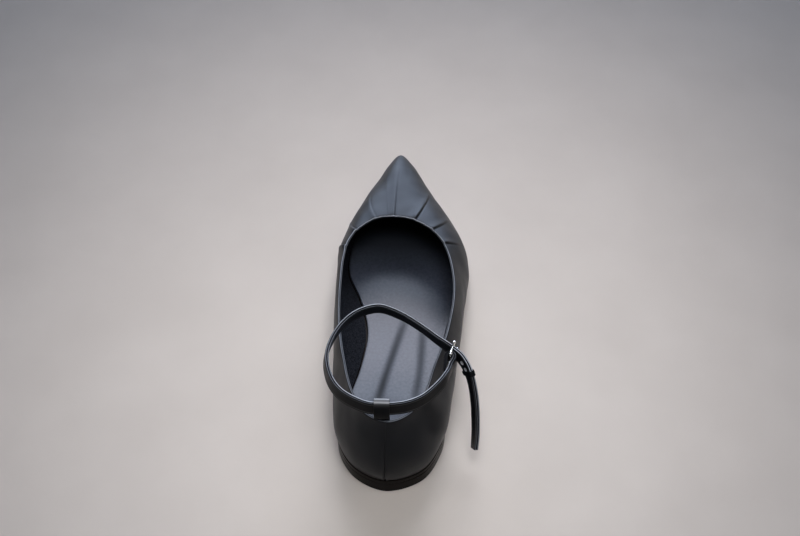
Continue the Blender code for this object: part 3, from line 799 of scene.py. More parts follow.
@dataclass
class Upper:
    """The leather upper: tucked outer face, double rolled topline, lining."""

    last: Last
    seam_width: float = 0.4
    seam_depth: float = 0.75
    seam_lip: float = 0.2
    seam_fade: float = 0.8
    section_length: float = 20.7
    outer_rows: int = 72
    rim_rows: int = 13
    lining_rows: int = 24
    lining_share: float = 0.4
    top_share: float = 0.994
    wave_height: float = 0.10
    tuck_rise: float = 3.0
    tuck_fall: float = 0.9
    crease_place: float = 1.35
    crease_width: float = 0.75
    crease_depth: float = 0.32
    top_ease: float = 0.6
    top_reach: float = 0.02
    bead_height: float = 0.40
    front_section: float = 13.0
    front_reach: float = 6.0
    side_shine: float = 0.2
    side_focus: float = 4.0
    front_focus: float = 1.6

    def index(self) -> Array:
        """Section counts of the columns."""
        return np.concatenate([np.arange(start, end - STRETCH_GAP, step)
                               for start, end, step in COLUMN_STRETCHES.values()])

    def tucks(self, points: Array, index: Array, up: Array) -> Array:
        """Height of the tucks: each rises gently to a crest, falls steeply to a crease, and fades downward.

        The crest's line goes straight from its count at the topline to its count where it ends. A point's
        distance from it is the difference in counts times the millimetres that a count spans there.
        All tucks ease off at the topline, whose edge runs on almost evenly.

        Args:
            points: The smooth surface, columns by rows.
            index: Section counts of the columns.
            up: Share of the way up of the rows.

        Returns:
            The height in millimetres.
        """
        spacing = ring_step(index) % len(SECTIONS)
        pace = np.linalg.norm(ring_step(points), axis=-1) / spacing[:, None]
        height = np.zeros(points.shape[:2])
        for row in TUCKS.values():
            tuck = dict(zip(TUCK_COLUMNS, row))
            gone = np.clip((1.0 - up) / tuck["down"], 0.0, 1.0)
            line = tuck["at"] + (tuck["end"] - tuck["at"]) * gone
            side = (line - index[:, None]) * pace
            crest = np.where(side < 0.0, bell(side, self.tuck_rise), bell(side, self.tuck_fall))
            crease = bell(side - self.crease_place, self.crease_width)
            height += tuck["height"] * (1.0 - gone) * (crest - self.crease_depth * crease)
        return height * (1.0 - self.top_ease * bell(1.0 - up, self.top_reach))

    def seam(self, index: Array, up: Array) -> Array:
        """Height of the back seam: a narrow groove between two low lips, deeper towards the sole.

        A lip lies three groove widths out and is two wide.

        Args:
            index: Section counts of the columns.
            up: Share of the way up of the rows.

        Returns:
            The height in millimetres, below zero in the groove.
        """
        count = len(SECTIONS)
        away = ((index + 0.5 * count) % count - 0.5 * count) * self.section_length
        groove = self.seam_depth * bell(away, self.seam_width)
        lips = self.seam_lip * bell(np.abs(away) - 3.0 * self.seam_width, 2.0 * self.seam_width)
        return np.outer(lips - groove, 1.0 - self.seam_fade * up)

    def waves(self, points: Array) -> Array:
        """Slight unevenness of stretched leather: products of slow sines over the shoe."""
        parts = [share * np.sin(points @ one) * np.sin(points @ other)
                 for share, one, other in WAVES.values()]
        return self.wave_height * np.sum(parts, axis=0)

    def beads(self) -> tuple[Array, Array]:
        """Rows over the topline, whose height follows two half circles side by side.

        Returns:
            Share of the way across the topline and share of the beads' height, for each row.
        """
        share = np.linspace(0.0, 1.0, self.rim_rows + 2)[1:-1]
        from_crest = np.abs((4.0 * share) % 2.0 - 1.0)
        return share, np.sqrt(1.0 - from_crest ** 2)

    def shine(self, index: Array) -> Array:
        """Painted highlight on the beads: a line along each crest, broader towards the front.

        The outer bead is brightest at the front, where the inner one has no line.

        Args:
            index: Section counts of the columns.

        Returns:
            The share, columns by rows of the topline.
        """
        share, crest = self.beads()
        front = bell(index - self.front_section, self.front_reach)[:, None]
        outer_light = self.side_shine + (1.0 - self.side_shine) * front
        inner_light = self.side_shine * (1.0 - front)
        focus = self.side_focus + (self.front_focus - self.side_focus) * front
        return np.where(share < 0.5, outer_light, inner_light) * crest ** focus

    def build(self) -> Grid:
        """Outer face upward, two beads over the topline, lining downward, closed along the bottom edge.

        Returns:
            The surface.
        """
        index = self.index()
        up = np.linspace(0.0, self.top_share, self.outer_rows)
        smooth, normal = self.last.surface(index, up)
        relief = self.tucks(smooth, index, up) + self.seam(index, up) + self.waves(smooth)
        outer = smooth + normal * relief[:, :, None]

        inside = np.linspace(0.0, self.top_share, self.lining_rows)
        lined, lined_normal = self.last.surface(index, inside)
        soft = self.lining_share * self.tucks(lined, index, inside)
        lining = (lined - lined_normal * (self.last.wall - soft)[:, :, None])[:, ::-1]

        share, crest = self.beads()
        climb = unit(smooth[:, -1] - smooth[:, -3])[:, None]
        across = outer[:, -1:] + (lining[:, :1] - outer[:, -1:]) * share[:, None]
        rim = across + climb * self.bead_height * crest[:, None]
        points = np.concatenate((outer, rim, lining), axis=1)
        mark = np.zeros(points.shape[:2])
        # Painted highlight along the crests of the topline's beads
        mark[:, self.outer_rows:-self.lining_rows] = self.shine(index)
        # Outside, topline and lining, by their places in the list of finishes
        slots = np.repeat((0, 2, 1), (self.outer_rows - 1, self.rim_rows + 1, self.lining_rows))
        return Grid(points, ring_columns=True, ring_rows=True, marks={"edge": mark}, slots=slots)

    def dress(self) -> None:
        """Outside in black leather, inside in dark lining, the topline in dark edge leather with a painted
        highlight.
        """
        finishes = [UPPER_LEATHER, LINING_LEATHER, EDGE_WITH_PAINTED_HIGHLIGHT]
        add_piece("upper_dressed", self.build(), finishes, Slot.UPPER, "upper")


@dataclass
class Plate:
    """A sole-shaped plate with rounded edges, lofted across the shoe from station to station.

    Attributes:
        last: The form that it follows.
        offset: How far its outline stands out from the feather edge.
        edge: Radius of its edges.
        edge_share: Largest radius where it is narrow, as a share of its width.
        stations: Sections along the shoe.
        across: Points across its top and its bottom.
        turns: Points round each edge.
        sides: Points up each side between the edges.
        end_width: Width at which it stops at heel and toe.
        end_steps: Steps along the shoe by which that width is looked for.
    """

    last: Last
    offset: float
    edge: float
    edge_share: float = 0.3
    stations: int = 200
    across: int = 60
    turns: int = 6
    sides: int = 6
    end_width: float = 1.2
    end_steps: int = 4000

    def outline(self, end: float = math.inf) -> tuple[Array, Array, Array]:
        """Stations along the shoe, closest at both ends, with the left and right side there.

        Args:
            end: Where the plate is cut across, if before its own end.

        Returns:
            y, left x and right x of each station.
        """
        outer, inner = self.last.sides(self.offset)
        fine = np.linspace(outer[0, 1], outer[-1, 1], self.end_steps)
        wide = fine[np.interp(fine, *outer.T[::-1]) - np.interp(fine, *inner.T[::-1]) > self.end_width]
        length = min(end, wide[-1]) - wide[0]
        y = wide[0] + length * 0.5 * (1.0 - np.cos(np.linspace(0.0, np.pi, self.stations)))
        return y, np.interp(y, *inner.T[::-1]), np.interp(y, *outer.T[::-1])

    def loft(self, y: Array, left: Array, right: Array, low: Array, high: Array) -> Array:
        """Rounded rectangles across the shoe: up the right side, over the top, down the left side and back.

        Args:
            y: Stations.
            left: Left side of each station.
            right: Right side of each station.
            low: Height of the underside at each station.
            high: Height of the top at each station.

        Returns:
            The grid of points, stations by profile.
        """
        across, up, out_across, out_up = rounded_rectangle(self.turns, self.sides, self.across)
        radius = np.minimum(self.edge, self.edge_share * (right - left))[:, None]
        half_wide = 0.5 * (right - left)[:, None] - radius
        half_high = 0.5 * (high - low)[:, None] - radius
        x = 0.5 * (left + right)[:, None] + half_wide * across + radius * out_across
        z = 0.5 * (low + high)[:, None] + half_high * up + radius * out_up
        return np.stack((x, np.broadcast_to(y[:, None], x.shape), z), axis=-1)


@dataclass
class Insole:
    """The sock on its board, with two soft troughs and a slight hollow under the heel."""

    last: Last
    clear: float = 0.5
    thick: float = 2.0
    edge: float = 0.55
    trough_width: float = 2.4
    trough_depth: float = 0.3
    lip: float = 0.5
    lip_power: float = 8.0
    rim_power: float = 60.0
    hollow: float = 0.5
    hollow_place: float = 34.0
    hollow_width: float = 18.0
    hollow_length: float = 26.0
    lit_edge: float = 128.0
    lit_reach: float = 16.0
    toe_start: float = 148.0
    toe_reach: float = 30.0
    toe_shade: float = 0.9

    def troughs(self, x: Array, y: Array) -> Array:
        """How deep in a trough: a bell across each line, whose place and share follow its own smooth curve.

        Args:
            x: Places across the shoe, stations by profile.
            y: The station of each row.

        Returns:
            The share of the full depth.
        """
        depth = np.zeros_like(x)
        for table in (INNER_TROUGH, OUTER_TROUGH):
            line = columns(TROUGH_COLUMNS, table)
            order = np.argsort(line["y"])
            track = np.stack((line["x"], line["share"]), axis=1)[order]
            middle, share = hermite(line["y"][order], track, y).T
            held = np.where((y > line["y"].min()) & (y < line["y"].max()), share, 0.0)
            depth += held[:, None] * bell(x - middle[:, None], self.trough_width)
        return depth

    def build(self) -> Grid:
        """Plate on the sole with the troughs pressed into its top, with painted shade in them, along the rim
        except where it is lit, and towards the toes.

        Returns:
            The surface.
        """
        plate = Plate(self.last, -self.last.wall - self.clear, self.edge, stations=240, across=90)
        y, left, right = plate.outline()
        seat = self.last.seat(y)
        points = plate.loft(y, left, right, seat, seat + self.thick)
        x, along, z = np.moveaxis(points, -1, 0)
        top = np.clip((z - seat[:, None]) / self.thick, 0.0, 1.0) ** 2
        trough = self.troughs(x, y)
        reach = np.clip(np.abs(2.0 * x - (left + right)[:, None]) / (right - left)[:, None], 0.0, 1.0)
        lengthwise = bell(along - self.hollow_place, self.hollow_length)
        hollow = self.hollow * bell(x, self.hollow_width) * lengthwise
        points[..., 2] += top * (self.lip * reach ** self.lip_power - self.trough_depth * trough - hollow)
        # Painted shade: in the troughs, along the rim except around lit_edge, and deepening towards the toes
        lit = bell(along - self.lit_edge, self.lit_reach)
        toes = self.toe_shade * np.clip((along - self.toe_start) / self.toe_reach, 0.0, 1.0)
        shade = top * np.clip(trough + toes + reach ** self.rim_power * (1.0 - lit), 0.0, 1.0)
        return Grid(points, ring_rows=True, caps=True, marks={"trough": shade})

    def dress(self) -> None:
        """Grey sock leather with painted shade."""
        add_piece("insole_dressed", self.build(), [SOCK_LEATHER], Slot.SOCK, "insole")


@dataclass
class Outsole:
    """The thin leather sole with rounded edges."""

    last: Last
    edge_out: float = 0.5
    edge: float = 0.35

    def build(self) -> Grid:
        """Plate that follows the sole's underside.

        Returns:
            The surface.
        """
        plate = Plate(self.last, self.edge_out, self.edge, across=36, sides=4)
        y, left, right = plate.outline()
        bottom = self.last.sole_bottom(y)
        points = plate.loft(y, left, right, bottom, bottom + self.last.sole_thick)
        return Grid(points, ring_rows=True, caps=True)

    def dress(self) -> None:
        """Dark sole leather."""
        add_piece("outsole_dressed", self.build(), [SOLE_LEATHER], Slot.SOLE, "outsole")


@dataclass
class Heel:
    """The low heel block under the heel seat."""

    last: Last
    edge_out: float = 0.5
    edge: float = 0.3

    def build(self) -> Grid:
        """Plate under the heel seat, cut across at the breast.

        Returns:
            The surface.
        """
        plate = Plate(self.last, self.edge_out, self.edge, stations=110, across=24, sides=10)
        y, left, right = plate.outline(self.last.breast_y)
        top = np.full_like(y, self.last.heel_height - self.last.gap)
        points = plate.loft(y, left, right, np.zeros_like(y), top)
        return Grid(points, ring_rows=True, caps=True)

    def dress(self) -> None:
        """Dark heel stack."""
        add_piece("heel_dressed", self.build(), [HEEL_LEATHER], Slot.SOLE, "heel")


@dataclass(frozen=True)
class RibbonProfile:
    """A strap's section: a rounded rectangle with a groove along each thin edge and a crease beside it.

    Attributes:
        thick: Thickness.
        width: Width.
        corner: Radius of its corners.
        groove: Depth of the line between the two layers, along the thin edges.
        groove_width: Its half width.
        shine: Half width of the painted highlight line on each layer's edge.
        crease: Depth of the line pressed beside each edge.
        crease_width: Its half width.
        inset: How far the pressed line lies from the edge.
        edge_from: How far a face is turned to the thin edge, from 0 to 1, to count as a part of it.
        face_points: Points across each face.
        edge_points: Points across each thin edge.
        corner_points: Points round each corner.
    """

    thick: float
    width: float
    corner: float = 0.45
    groove: float = 0.35
    groove_width: float = 0.42
    shine: float = 0.18
    crease: float = 0.12
    crease_width: float = 0.22
    inset: float = 1.1
    edge_from: float = 0.6
    face_points: int = 31
    edge_points: int = 15
    corner_points: int = 5

    def outline(self, grow: float = 0.0) -> tuple[Array, Array, Array, Array]:
        """Points round the rectangle, anticlockwise, with their outward direction.

        Args:
            grow: How far the outline stands out from the strap.

        Returns:
            Place and outward direction across the thickness and across the width: a, b, out a and out b.
        """
        a, b, out_a, out_b = rounded_rectangle(self.corner_points, self.face_points, self.edge_points)
        a = a * (0.5 * self.thick - self.corner) + out_a * (self.corner + grow)
        b = b * (0.5 * self.width - self.corner) + out_b * (self.corner + grow)
        return a, b, out_a, out_b

    def seam(self) -> Array:
        """1 along the line between the two layers on the thin edges, a bell across it, 0 on the faces."""
        a, _, _, out_b = self.outline()
        return bell(a, self.groove_width) * np.abs(out_b)

    def pressed(self) -> Array:
        """1 along the line pressed beside each edge of the faces, a bell across it."""
        _, b, out_a, _ = self.outline()
        return bell(np.abs(b) - 0.5 * self.width + self.inset, self.crease_width) * np.abs(out_a)

    def highlight_line(self) -> Array:
        """1 along the painted highlight line of each layer on the thin edges, a bell across it, 0 on the
        faces.
        """
        a, _, _, out_b = self.outline()
        return bell(np.abs(a) - 0.5 * self.thick + self.corner, self.shine) * out_b ** 2

    def slots(self) -> Array:
        """Material slot of each face round the section: 1 on the thin edges, 0 on the wide faces."""
        thin = np.abs(self.outline()[3])
        return (0.5 * (thin + np.roll(thin, -1)) > self.edge_from).astype(np.int32)

    def points(self) -> tuple[Array, Array]:
        """The finished section: the rectangle less its grooves and creases along the outward direction.

        Returns:
            Places across the thickness and across the width.
        """
        a, b, out_a, out_b = self.outline()
        cut = self.groove * self.seam() + self.crease * self.pressed()
        return a - out_a * cut, b - out_b * cut


STRAP_PROFILE = RibbonProfile(thick=2.2, width=8.0)
LOOP_PROFILE = RibbonProfile(thick=1.2, width=8.2, corner=0.3, groove=0.12, groove_width=0.2, shine=0.2,
                             crease=0.08, inset=0.8)


def ribbon_axes(tangent: Array, edges: Array) -> tuple[Array, Array]:
    """Face and edge direction of a ribbon: the edge made square to the path, the face square to both."""
    edge = unit(edges - np.sum(edges * tangent, axis=1, keepdims=True) * tangent)
    return np.cross(tangent, edge), edge


def ribbon(points: Array, edges: Array, across: Array, along: Array) -> Array:
    """Carry a section along a path: its width follows the edge direction, its thickness the path's side.

    Args:
        points: The path.
        edges: The edge direction at each point.
        across: Section places across the thickness, one row for all of the path or one for each point.
        along: Section places across the width.

    Returns:
        The grid, path by section.
    """
    face, edge = ribbon_axes(unit(np.gradient(points, axis=0)), edges)
    lift = face[:, None] * np.atleast_2d(across)[..., None]
    return points[:, None] + lift + edge[:, None] * along[:, None]


def tube(points: Array, radii: Array, sides: int, closed: bool) -> Array:
    """Carry circles along a path that lies in a plane, square to the path.

    The plane's normal is the direction in which the points spread least.

    Args:
        points: The path.
        radii: Radius at each point.
        sides: Points round the circle.
        closed: Whether the path is a ring.

    Returns:
        The grid, path by circle.
    """
    tangent = unit(ring_step(points) if closed else np.gradient(points, axis=0))
    normal = np.linalg.svd(points - points.mean(axis=0))[2][2]
    side = np.cross(tangent, normal)
    up = np.cross(tangent, side)
    turn = np.linspace(0.0, 2.0 * np.pi, sides, endpoint=False)[:, None]
    ring = up[:, None] * np.sin(turn) + side[:, None] * np.cos(turn)
    return points[:, None] + ring * radii[:, None, None]


@dataclass(frozen=True)
class BuckleAxes:
    """The buckle's own axes: forward along the strap end, up, and outward from the ankle."""

    bar: Triple = (33.2, 45.8, 63.05)
    forward: Triple = (0.25, 0.968, 0.0)
    out: Triple = (0.968, -0.25, 0.0)

    def point(self, forward: Array, up: Array, out: Array) -> Array:
        """Points given along the buckle's axes, in shoe millimetres."""
        steps = np.stack(np.broadcast_arrays(forward, up, out), axis=-1)
        return np.array(self.bar) + steps @ np.array((self.forward, UP, self.out))


@dataclass
class AnkleStrap:
    """The two-layer strap with its punched holes, the keeper and the back loop."""

    axes: BuckleAxes
    profile: RibbonProfile = STRAP_PROFILE
    loop_profile: RibbonProfile = LOOP_PROFILE
    step: float = 0.8
    fine_step: float = 0.2
    slope_step: float = 0.05
    wire: float = 1.6
    gap: float = 0.3
    fold_turns: int = 12
    fold_length: float = 12.0
    # Painted highlight: its least share on the edges, and its share along the pressed lines by the keeper
    # and on the free end
    highlight_least: float = 0.12
    streak: float = 0.06
    free_streak: float = 0.34
    skive_length: float = 5.0
    skive_thin: float = 0.3
    tip_slant: float = 2.6
    tip_reach: float = 6.0
    keeper_length: float = 3.0
    keeper_thick: float = 0.5
    keeper_clear: float = 0.3
    loop_x: float = -2.6
    loop_steps: int = 140
    crown_reach: float = 1.0
    # Painted highlight on the loop: a glow over the crown and lines along its two turns
    crown_glow: float = 0.14
    crown_line: float = 0.45
    crown_line_width: float = 0.3
    hole_radius: float = 0.7
    hole_depth: float = 0.9
    hole_power: float = 8.0
    hole_rim: float = 0.2
    rim_place: float = 1.3
    rim_width: float = 0.45
    holes_before_keeper: Pair = (6.6, 2.4)

    def path(self) -> tuple[Array, Array]:
        """The strap's stops and edge directions: tail, turn round the buckle bar, then the route.

        Returns:
            The stops and the edge direction at each.
        """
        radius = 0.5 * self.wire + self.gap + 0.5 * self.profile.thick
        turn = np.linspace(-0.5 * np.pi, 0.5 * np.pi, self.fold_turns + 1)
        tail = self.axes.point(**columns(FOLD_COLUMNS, FOLD_TAIL))
        turned = self.axes.point(radius * np.cos(turn), 0.0, radius * np.sin(turn))
        lead = self.axes.point(**columns(FOLD_COLUMNS, FOLD_LEAD))
        fold = np.concatenate((tail, turned, lead))
        stop = columns(ROUTE_COLUMNS, ROUTE)
        route = np.stack((stop["x"], stop["y"], stop["z"]), axis=1)
        route_edge = np.stack((stop["edge_x"], stop["edge_y"], stop["edge_z"]), axis=1)
        return np.concatenate((fold, route)), np.concatenate((np.tile(UP, (len(fold), 1)), route_edge))

    def along(self, at: Array) -> tuple[Array, Array]:
        """Points and edge directions of the strap.

        Args:
            at: Running lengths.

        Returns:
            The point and the edge direction at each.
        """
        stops, edges = self.path()
        rows = hermite(chord_knots(stops), np.hstack((stops, edges)), at)
        return rows[:, 0:3], rows[:, 3:6]

    def length_at(self, stop: str) -> float:
        """Running length at a named stop of the route."""
        stops = self.path()[0]
        return float(chord_knots(stops)[len(stops) - len(ROUTE) + list(ROUTE).index(stop)])

    def stations(self) -> Array:
        """Sections along the strap, closest round the holes and the keeper.

        Returns:
            Their running lengths.
        """
        start = self.length_at("past frame")
        end = self.length_at("bend")
        tip = self.length_at("tip")
        free = np.linspace(end, tip, round((tip - end) / self.step))
        plain_run = np.arange(0.0, start, self.step)
        fine_run = np.arange(start, end, self.fine_step)
        return np.concatenate((plain_run, fine_run, free))

    def painted_shading(self, at: Array) -> Array:
        """Painted highlight on the strap: along the edges of its layers, and faintly along its pressed
        lines.

        The edges are brightest where they face the toe, the side the light comes from, and all along the
        upper edge from the frame to the keeper.
        The pressed lines are brightest on the free end. The fold gets none.

        Args:
            at: Running lengths of the sections.

        Returns:
            The share, sections by points round them.
        """
        points, edges = self.along(at)
        faces = np.sign(self.profile.points()[0])
        ahead = np.cross(unit(np.gradient(points, axis=0)), unit(edges))[:, 1]
        towards_toe = (0.5 + 0.5 * np.outer(ahead, faces)) ** 2
        highlight = self.highlight_least + (1.0 - self.highlight_least) * towards_toe
        keeper = self.length_at("keeper")
        bright_run = (at > self.length_at("through frame")) & (at < keeper)
        highlight = np.where(np.outer(bright_run, self.profile.outline()[3] > 0.5), 1.0, highlight)
        past_fold = np.clip(at / self.fold_length - 1.0, 0.0, 1.0)
        streak = np.interp(at, (keeper, self.length_at("bend")), (self.streak, self.free_streak))
        return np.maximum(highlight * np.outer(past_fold, self.profile.highlight_line()),
                          np.outer(past_fold * streak, self.profile.pressed()))

    def holes(self, at: Array) -> tuple[Array, Array]:
        """The punched holes, each a round pit with a raised rim.

        A pit's depth goes as one over one plus a high power of the distance from its middle.

        Args:
            at: Running lengths of the sections.

        Returns:
            Height of both and share of the rim, sections by points round them.
        """
        wide = self.profile.points()[1]
        height = np.zeros((len(at), len(wide)))
        rims = np.zeros_like(height)
        for before in self.holes_before_keeper:
            away = np.hypot(at[:, None] - self.length_at("keeper") + before, wide) / self.hole_radius
            rim = bell(away - self.rim_place, self.rim_width)
            height += self.hole_rim * rim - self.hole_depth / (1.0 + away ** self.hole_power)
            rims = np.maximum(rims, rim)
        return height, rims

    def build_strap(self) -> Grid:
        """The section carried along the whole path, with the holes pressed into both faces.

        The tail is thinned towards the layer that it lies on. The free end is cut aslant: it reaches further
        along its path in proportion to the place across its width.

        Returns:
            The surface.
        """
        at = self.stations()
        points, edges = self.along(at)
        across, wide = self.profile.points()
        side = self.profile.outline()[2]
        height, rims = self.holes(at)
        thin = np.clip(self.skive_thin + (1.0 - self.skive_thin) * at / self.skive_length, 0.0, 1.0)[:, None]
        half = 0.5 * self.profile.thick
        layered = half - (half - across) * thin + side * height
        near_tip = np.clip(1.0 - (at[-1] - at) / self.tip_reach, 0.0, 1.0)
        longer = self.tip_slant * np.outer(near_tip, 0.5 - wide / self.profile.width)
        grid = ribbon(points, edges, layered, wide) + longer[..., None] * unit(points[-1] - points[-2])
        # Painted highlight on the edges and pressed lines, and round the hole rims
        mark = np.maximum(self.painted_shading(at), rims * np.abs(side))
        return Grid(grid, ring_rows=True, caps=True, marks={"edge": mark}, slots=self.profile.slots())

    def build_keeper(self) -> Grid:
        """A rounded band carried round the strap's section, at the keeper's stop.

        Returns:
            The surface.
        """
        band = RibbonProfile(self.keeper_thick, self.keeper_length, corner=0.3, groove=0.0, crease=0.06,
                             inset=0.6, face_points=9, edge_points=3)
        lift, shift = band.points()
        at = self.length_at("keeper") + shift
        points, edges = self.along(at)
        face, edge = ribbon_axes(unit(self.along(at + self.slope_step)[0] - points), edges)
        a, b, out_a, out_b = self.profile.outline(self.keeper_clear + 0.5 * self.keeper_thick)
        across = a[:, None] + np.outer(out_a, lift)
        wide = b[:, None] + np.outer(out_b, lift)
        grid = points + face * across[..., None] + edge * wide[..., None]
        # Painted highlight along the keeper's edges
        marks = {"edge": self.streak * band.highlight_line()}
        return Grid(grid[::-1], ring_columns=True, ring_rows=True, marks=marks)

    def build_loop(self) -> Grid:
        """A wide thin ribbon folded over the strap at the back, with painted highlight over its crown and
        its two turns.

        Returns:
            The surface.
        """
        side = columns(LOOP_COLUMNS, LOOP)
        stops = np.stack((np.full(len(LOOP), self.loop_x), side["y"], side["z"]), axis=1)
        knots = chord_knots(stops)
        at = np.linspace(0.0, knots[-1], self.loop_steps)
        edges = np.tile((1.0, 0.0, 0.0), (len(at), 1))
        grid = ribbon(hermite(knots, stops, at), edges, *self.loop_profile.points())
        away = at - knots[list(LOOP).index("crown")]
        glow = self.crown_glow * bell(away, 2.0 * self.crown_reach)
        lines = self.crown_line * bell(np.abs(away) - self.crown_reach, self.crown_line_width)
        mark = np.outer(glow + lines, np.abs(self.loop_profile.outline()[2]))
        return Grid(grid, ring_rows=True, caps=True, marks={"edge": mark})

    def dress(self) -> None:
        """Black strap leather with painted highlights on all three, and dark edge leather with a painted
        highlight on the strap's thin edges.
        """
        finishes = [STRAP_LEATHER, EDGE_WITH_PAINTED_HIGHLIGHT]
        add_piece("ankle_strap_dressed", self.build_strap(), finishes, Slot.STRAP, "ankle_strap")
        add_piece("keeper_dressed", self.build_keeper(), [STRAP_LEATHER], Slot.STRAP, "strap_keeper")
        add_piece("loop_dressed", self.build_loop(), [STRAP_LEATHER], Slot.STRAP, "heel_loop")


@dataclass
class Buckle:
    """The small wire frame and its pin."""

    axes: BuckleAxes
    wire: float = 2.1
    length: float = 8.6
    height: float = 10.6
    corner: float = 1.3
    thin: float = 0.72
    knuckle: float = 1.5
    low_share: float = 0.6
    pin: float = 1.0
    gap: float = 0.3
    past_frame: float = 0.3
    hook_start: float = 280.0
    hook_end: float = 90.0
    end_floor: float = 0.02
    sides: int = 24
    side_steps: int = 4
    corner_points: int = 10
    hook_points: int = 30
    run_points: int = 40

    def build_frame(self) -> Grid:
        """Round wire carried round a rectangle with arcs at its corners, thinner between them.

        Returns:
            The surface.
        """
        half_l = 0.5 * self.length
        half_h = 0.5 * self.height
        # Each corner's side forward and up, and the angle in degrees where its arc starts
        quarter = np.array(((1.0, 1.0, 0.0), (-1.0, 1.0, 90.0), (-1.0, -1.0, 180.0), (1.0, -1.0, 270.0)))
        side, level, start = (column[:, None] for column in quarter.T)
        angle = np.radians(start + np.linspace(0.0, 90.0, self.corner_points))
        forward = half_l + side * (half_l - self.corner) + self.corner * np.cos(angle)
        up = level * (half_h - self.corner) + self.corner * np.sin(angle)
        corners = np.stack((forward.ravel(), up.ravel()), axis=1)
        following = np.roll(corners, -1, axis=0)
        walk = np.linspace(0.0, 1.0, self.side_steps, endpoint=False)[:, None]
        flat = (corners[:, None] + (following - corners)[:, None] * walk).reshape(-1, 2)
        place = np.abs(flat - (half_l, 0.0))
        away = np.hypot(place[:, 0] - half_l, place[:, 1] - half_h)
        lower = np.where(flat[:, 1] < 0.0, self.low_share, 1.0)
        radius = 0.5 * self.wire * (1.0 - self.thin + self.thin * lower * bell(away, self.knuckle))
        path = self.axes.point(flat[:, 0], flat[:, 1], 0.0)
        return Grid(tube(path, radius, self.sides, closed=True), ring_columns=True, ring_rows=True)

    def build_pin(self) -> Grid:
        """Wire hooked round the bar, then straight over the frame, its ends rounded like half balls.

        Returns:
            The surface.
        """
        reach = 0.5 * self.wire + self.gap + 0.5 * self.pin
        angle = np.radians(np.linspace(self.hook_start, self.hook_end, self.hook_points))
        run = np.linspace(0.0, self.length + self.past_frame, self.run_points)[1:]
        forward = np.concatenate((reach * np.cos(angle), run))
        out = np.concatenate((reach * np.sin(angle), np.full(len(run), reach)))
        path = self.axes.point(forward, 0.0, out)
        at = chord_knots(path)
        radius = 0.5 * self.pin
        near_end = np.clip(1.0 - np.minimum(at, at[-1] - at) / radius, 0.0, 1.0)
        round_end = np.sqrt(np.clip(1.0 - near_end ** 2, self.end_floor, 1.0))
        return Grid(tube(path, radius * round_end, self.sides, closed=False), ring_rows=True, caps=True)

    def dress(self) -> None:
        """Polished silver metal."""
        add_piece("buckle_frame_dressed", self.build_frame(), [SILVER], Slot.METAL, "buckle_frame")
        add_piece("buckle_pin_dressed", self.build_pin(), [SILVER], Slot.METAL, "buckle_prong")


@dataclass(frozen=True)
class SoftLight:
    """A large soft panel.

    Attributes:
        name: Its name.
        place: Its middle, in metres.
        aim: The point that it faces.
        size: Width and height in metres.
        power: Watts.
        colour: Its colour.
        spread: Angle in degrees that it shines into.
    """

    name: str
    place: Triple
    aim: Triple
    size: Pair
    power: float
    colour: Colour
    spread: float

    def build(self) -> None:
        """Add the panel, turned to face its aim and hidden from the camera itself."""
        lamp = bpy.data.lights.new(self.name, "AREA")
        lamp.shape = "RECTANGLE"
        lamp.size = self.size[0]
        lamp.size_y = self.size[1]
        lamp.energy = self.power
        lamp.color = self.colour
        lamp.spread = math.radians(self.spread)
        item = put(self.name, lamp)
        item.location = self.place
        item.rotation_euler = (Vector(self.aim) - Vector(self.place)).to_track_quat("-Z", "Y").to_euler()
        item.visible_camera = False


# The panels near the shoe, then the lamps that shine straight down on the floor far out on each side
NEAR_LIGHTS = (
    SoftLight("front_panel", place=(0.0, 0.65, 0.33), aim=(0.0, 0.0, 0.33), size=(1.4, 0.6),
              power=4.5, colour=(0.65, 0.77, 1.0), spread=90.0),
    SoftLight("low_lamp", place=(0.03, 0.75, 0.55), aim=(0.0, 0.05, 0.0), size=(0.5, 0.25),
              power=0.28, colour=(1.0, 0.93, 0.93), spread=60.0),
    SoftLight("high_lamp", place=(0.03, 0.62, 0.90), aim=(0.0, 0.03, 0.0), size=(0.4, 0.25),
              power=0.31, colour=(0.87, 0.92, 1.0), spread=60.0),
    SoftLight("top_lamp", place=(0.04, -0.14, 0.64), aim=(0.0, 0.03, 0.0), size=(0.25, 0.25),
              power=0.27, colour=(0.91, 0.94, 1.0), spread=60.0),
    SoftLight("left_lamp", place=(-0.50, -0.08, 0.35), aim=(0.0, 0.02, 0.0), size=(0.3, 0.3),
              power=0.04, colour=(1.0, 0.97, 0.96), spread=70.0),
    SoftLight("right_lamp", place=(0.40, 0.02, 0.55), aim=(0.0, 0.03, 0.0), size=(0.3, 0.3),
              power=0.045, colour=(1.0, 0.96, 0.93), spread=70.0),
)
FAR_HEIGHT = 1.6
FAR_PLACES = {
    "far_front": (0.0, 1.7),
    "far_back": (0.0, -1.7),
    "far_left": (-1.7, 0.0),
    "far_right": (1.7, 0.0),
}
FAR_LIGHTS = tuple(
    SoftLight(name, place=(x, y, FAR_HEIGHT), aim=(x, y, 0.0), size=(1.0, 1.0),
              power=3.0, colour=(1.0, 0.97, 0.95), spread=60.0)
    for name, (x, y) in FAR_PLACES.items())


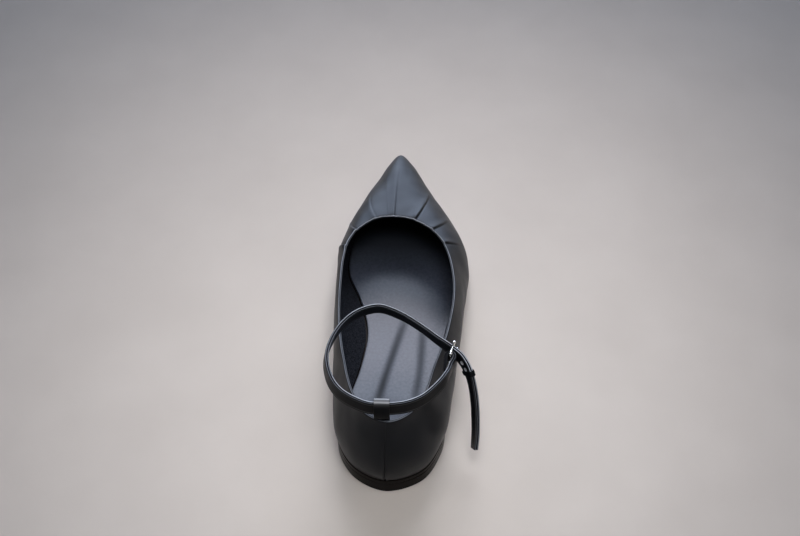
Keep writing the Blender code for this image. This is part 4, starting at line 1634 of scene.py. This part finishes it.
@dataclass
class Stage:
    """Floor, light and the camera at the photograph's angle."""

    floor_size: float = 6.0
    floor_drop: float = 0.0002
    camera_place: Triple = (0.0170, -0.3426, 0.574)
    camera_turn: Triple = (40.0, 0.0, 1.749)
    lens: float = 51.66
    sensor: float = 36.0
    sky: Colour = (0.93, 0.96, 1.0)
    horizon_strength: float = 0.55
    zenith_strength: float = 0.03
    haze_top: float = 0.35

    def build_floor(self) -> None:
        """One wide flat sheet just under the sole, as a function of two parameters on a two-by-two grid."""
        reach = 0.5 * self.floor_size / MILLIMETRE
        x, y = np.meshgrid((-reach, reach), (-reach, reach), indexing="ij")
        points = np.stack((x, y, np.full_like(x, -self.floor_drop / MILLIMETRE)), axis=-1)
        mesh = Grid(points).mesh("floor")
        mesh.materials.append(PALE_FLOOR.material())
        floor = put("floor", mesh)

    def build_camera(self) -> None:
        """Camera behind and above the heel."""
        lens = bpy.data.cameras.new("camera")
        lens.lens = self.lens
        lens.sensor_width = self.sensor
        camera = put("camera", lens)
        camera.location = self.camera_place
        camera.rotation_euler = [math.radians(angle) for angle in self.camera_turn]
        bpy.context.scene.camera = camera

    def build_sky(self) -> None:
        """Dim light from all round: pale along the horizon, easing to almost none overhead."""
        book = NodeBook(bpy.data.worlds.new("studio"), "Background")
        around = book.add("TexCoord").outputs["Generated"]
        height = book.add("SeparateXYZ", {"Vector": around}).outputs["Z"]
        values = {"Value": height, "From Max": self.haze_top, "To Min": self.horizon_strength,
                  "To Max": self.zenith_strength}
        strength = book.add("MapRange", values, interpolation_type="SMOOTHSTEP").outputs["Result"]
        book.fix(Color=(*self.sky, 1.0), Strength=strength)
        bpy.context.scene.world = book.owner

    def build(self) -> None:
        """Set up everything round the shoe."""
        self.build_floor()
        self.build_camera()
        self.build_sky()
        for light in NEAR_LIGHTS + FAR_LIGHTS:
            light.build()
        bpy.context.scene.view_settings.view_transform = "Standard"


def main() -> None:
    """Build every piece in order, then the stage."""
    logging.basicConfig(level=logging.INFO, format="%(name)s: %(message)s")
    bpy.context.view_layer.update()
    last = Last()
    axes = BuckleAxes()
    for piece in (Upper(last), Insole(last), Outsole(last), Heel(last), AnkleStrap(axes), Buckle(axes)):
        piece.dress()
    Stage().build()


if __name__ == "__main__":
    main()
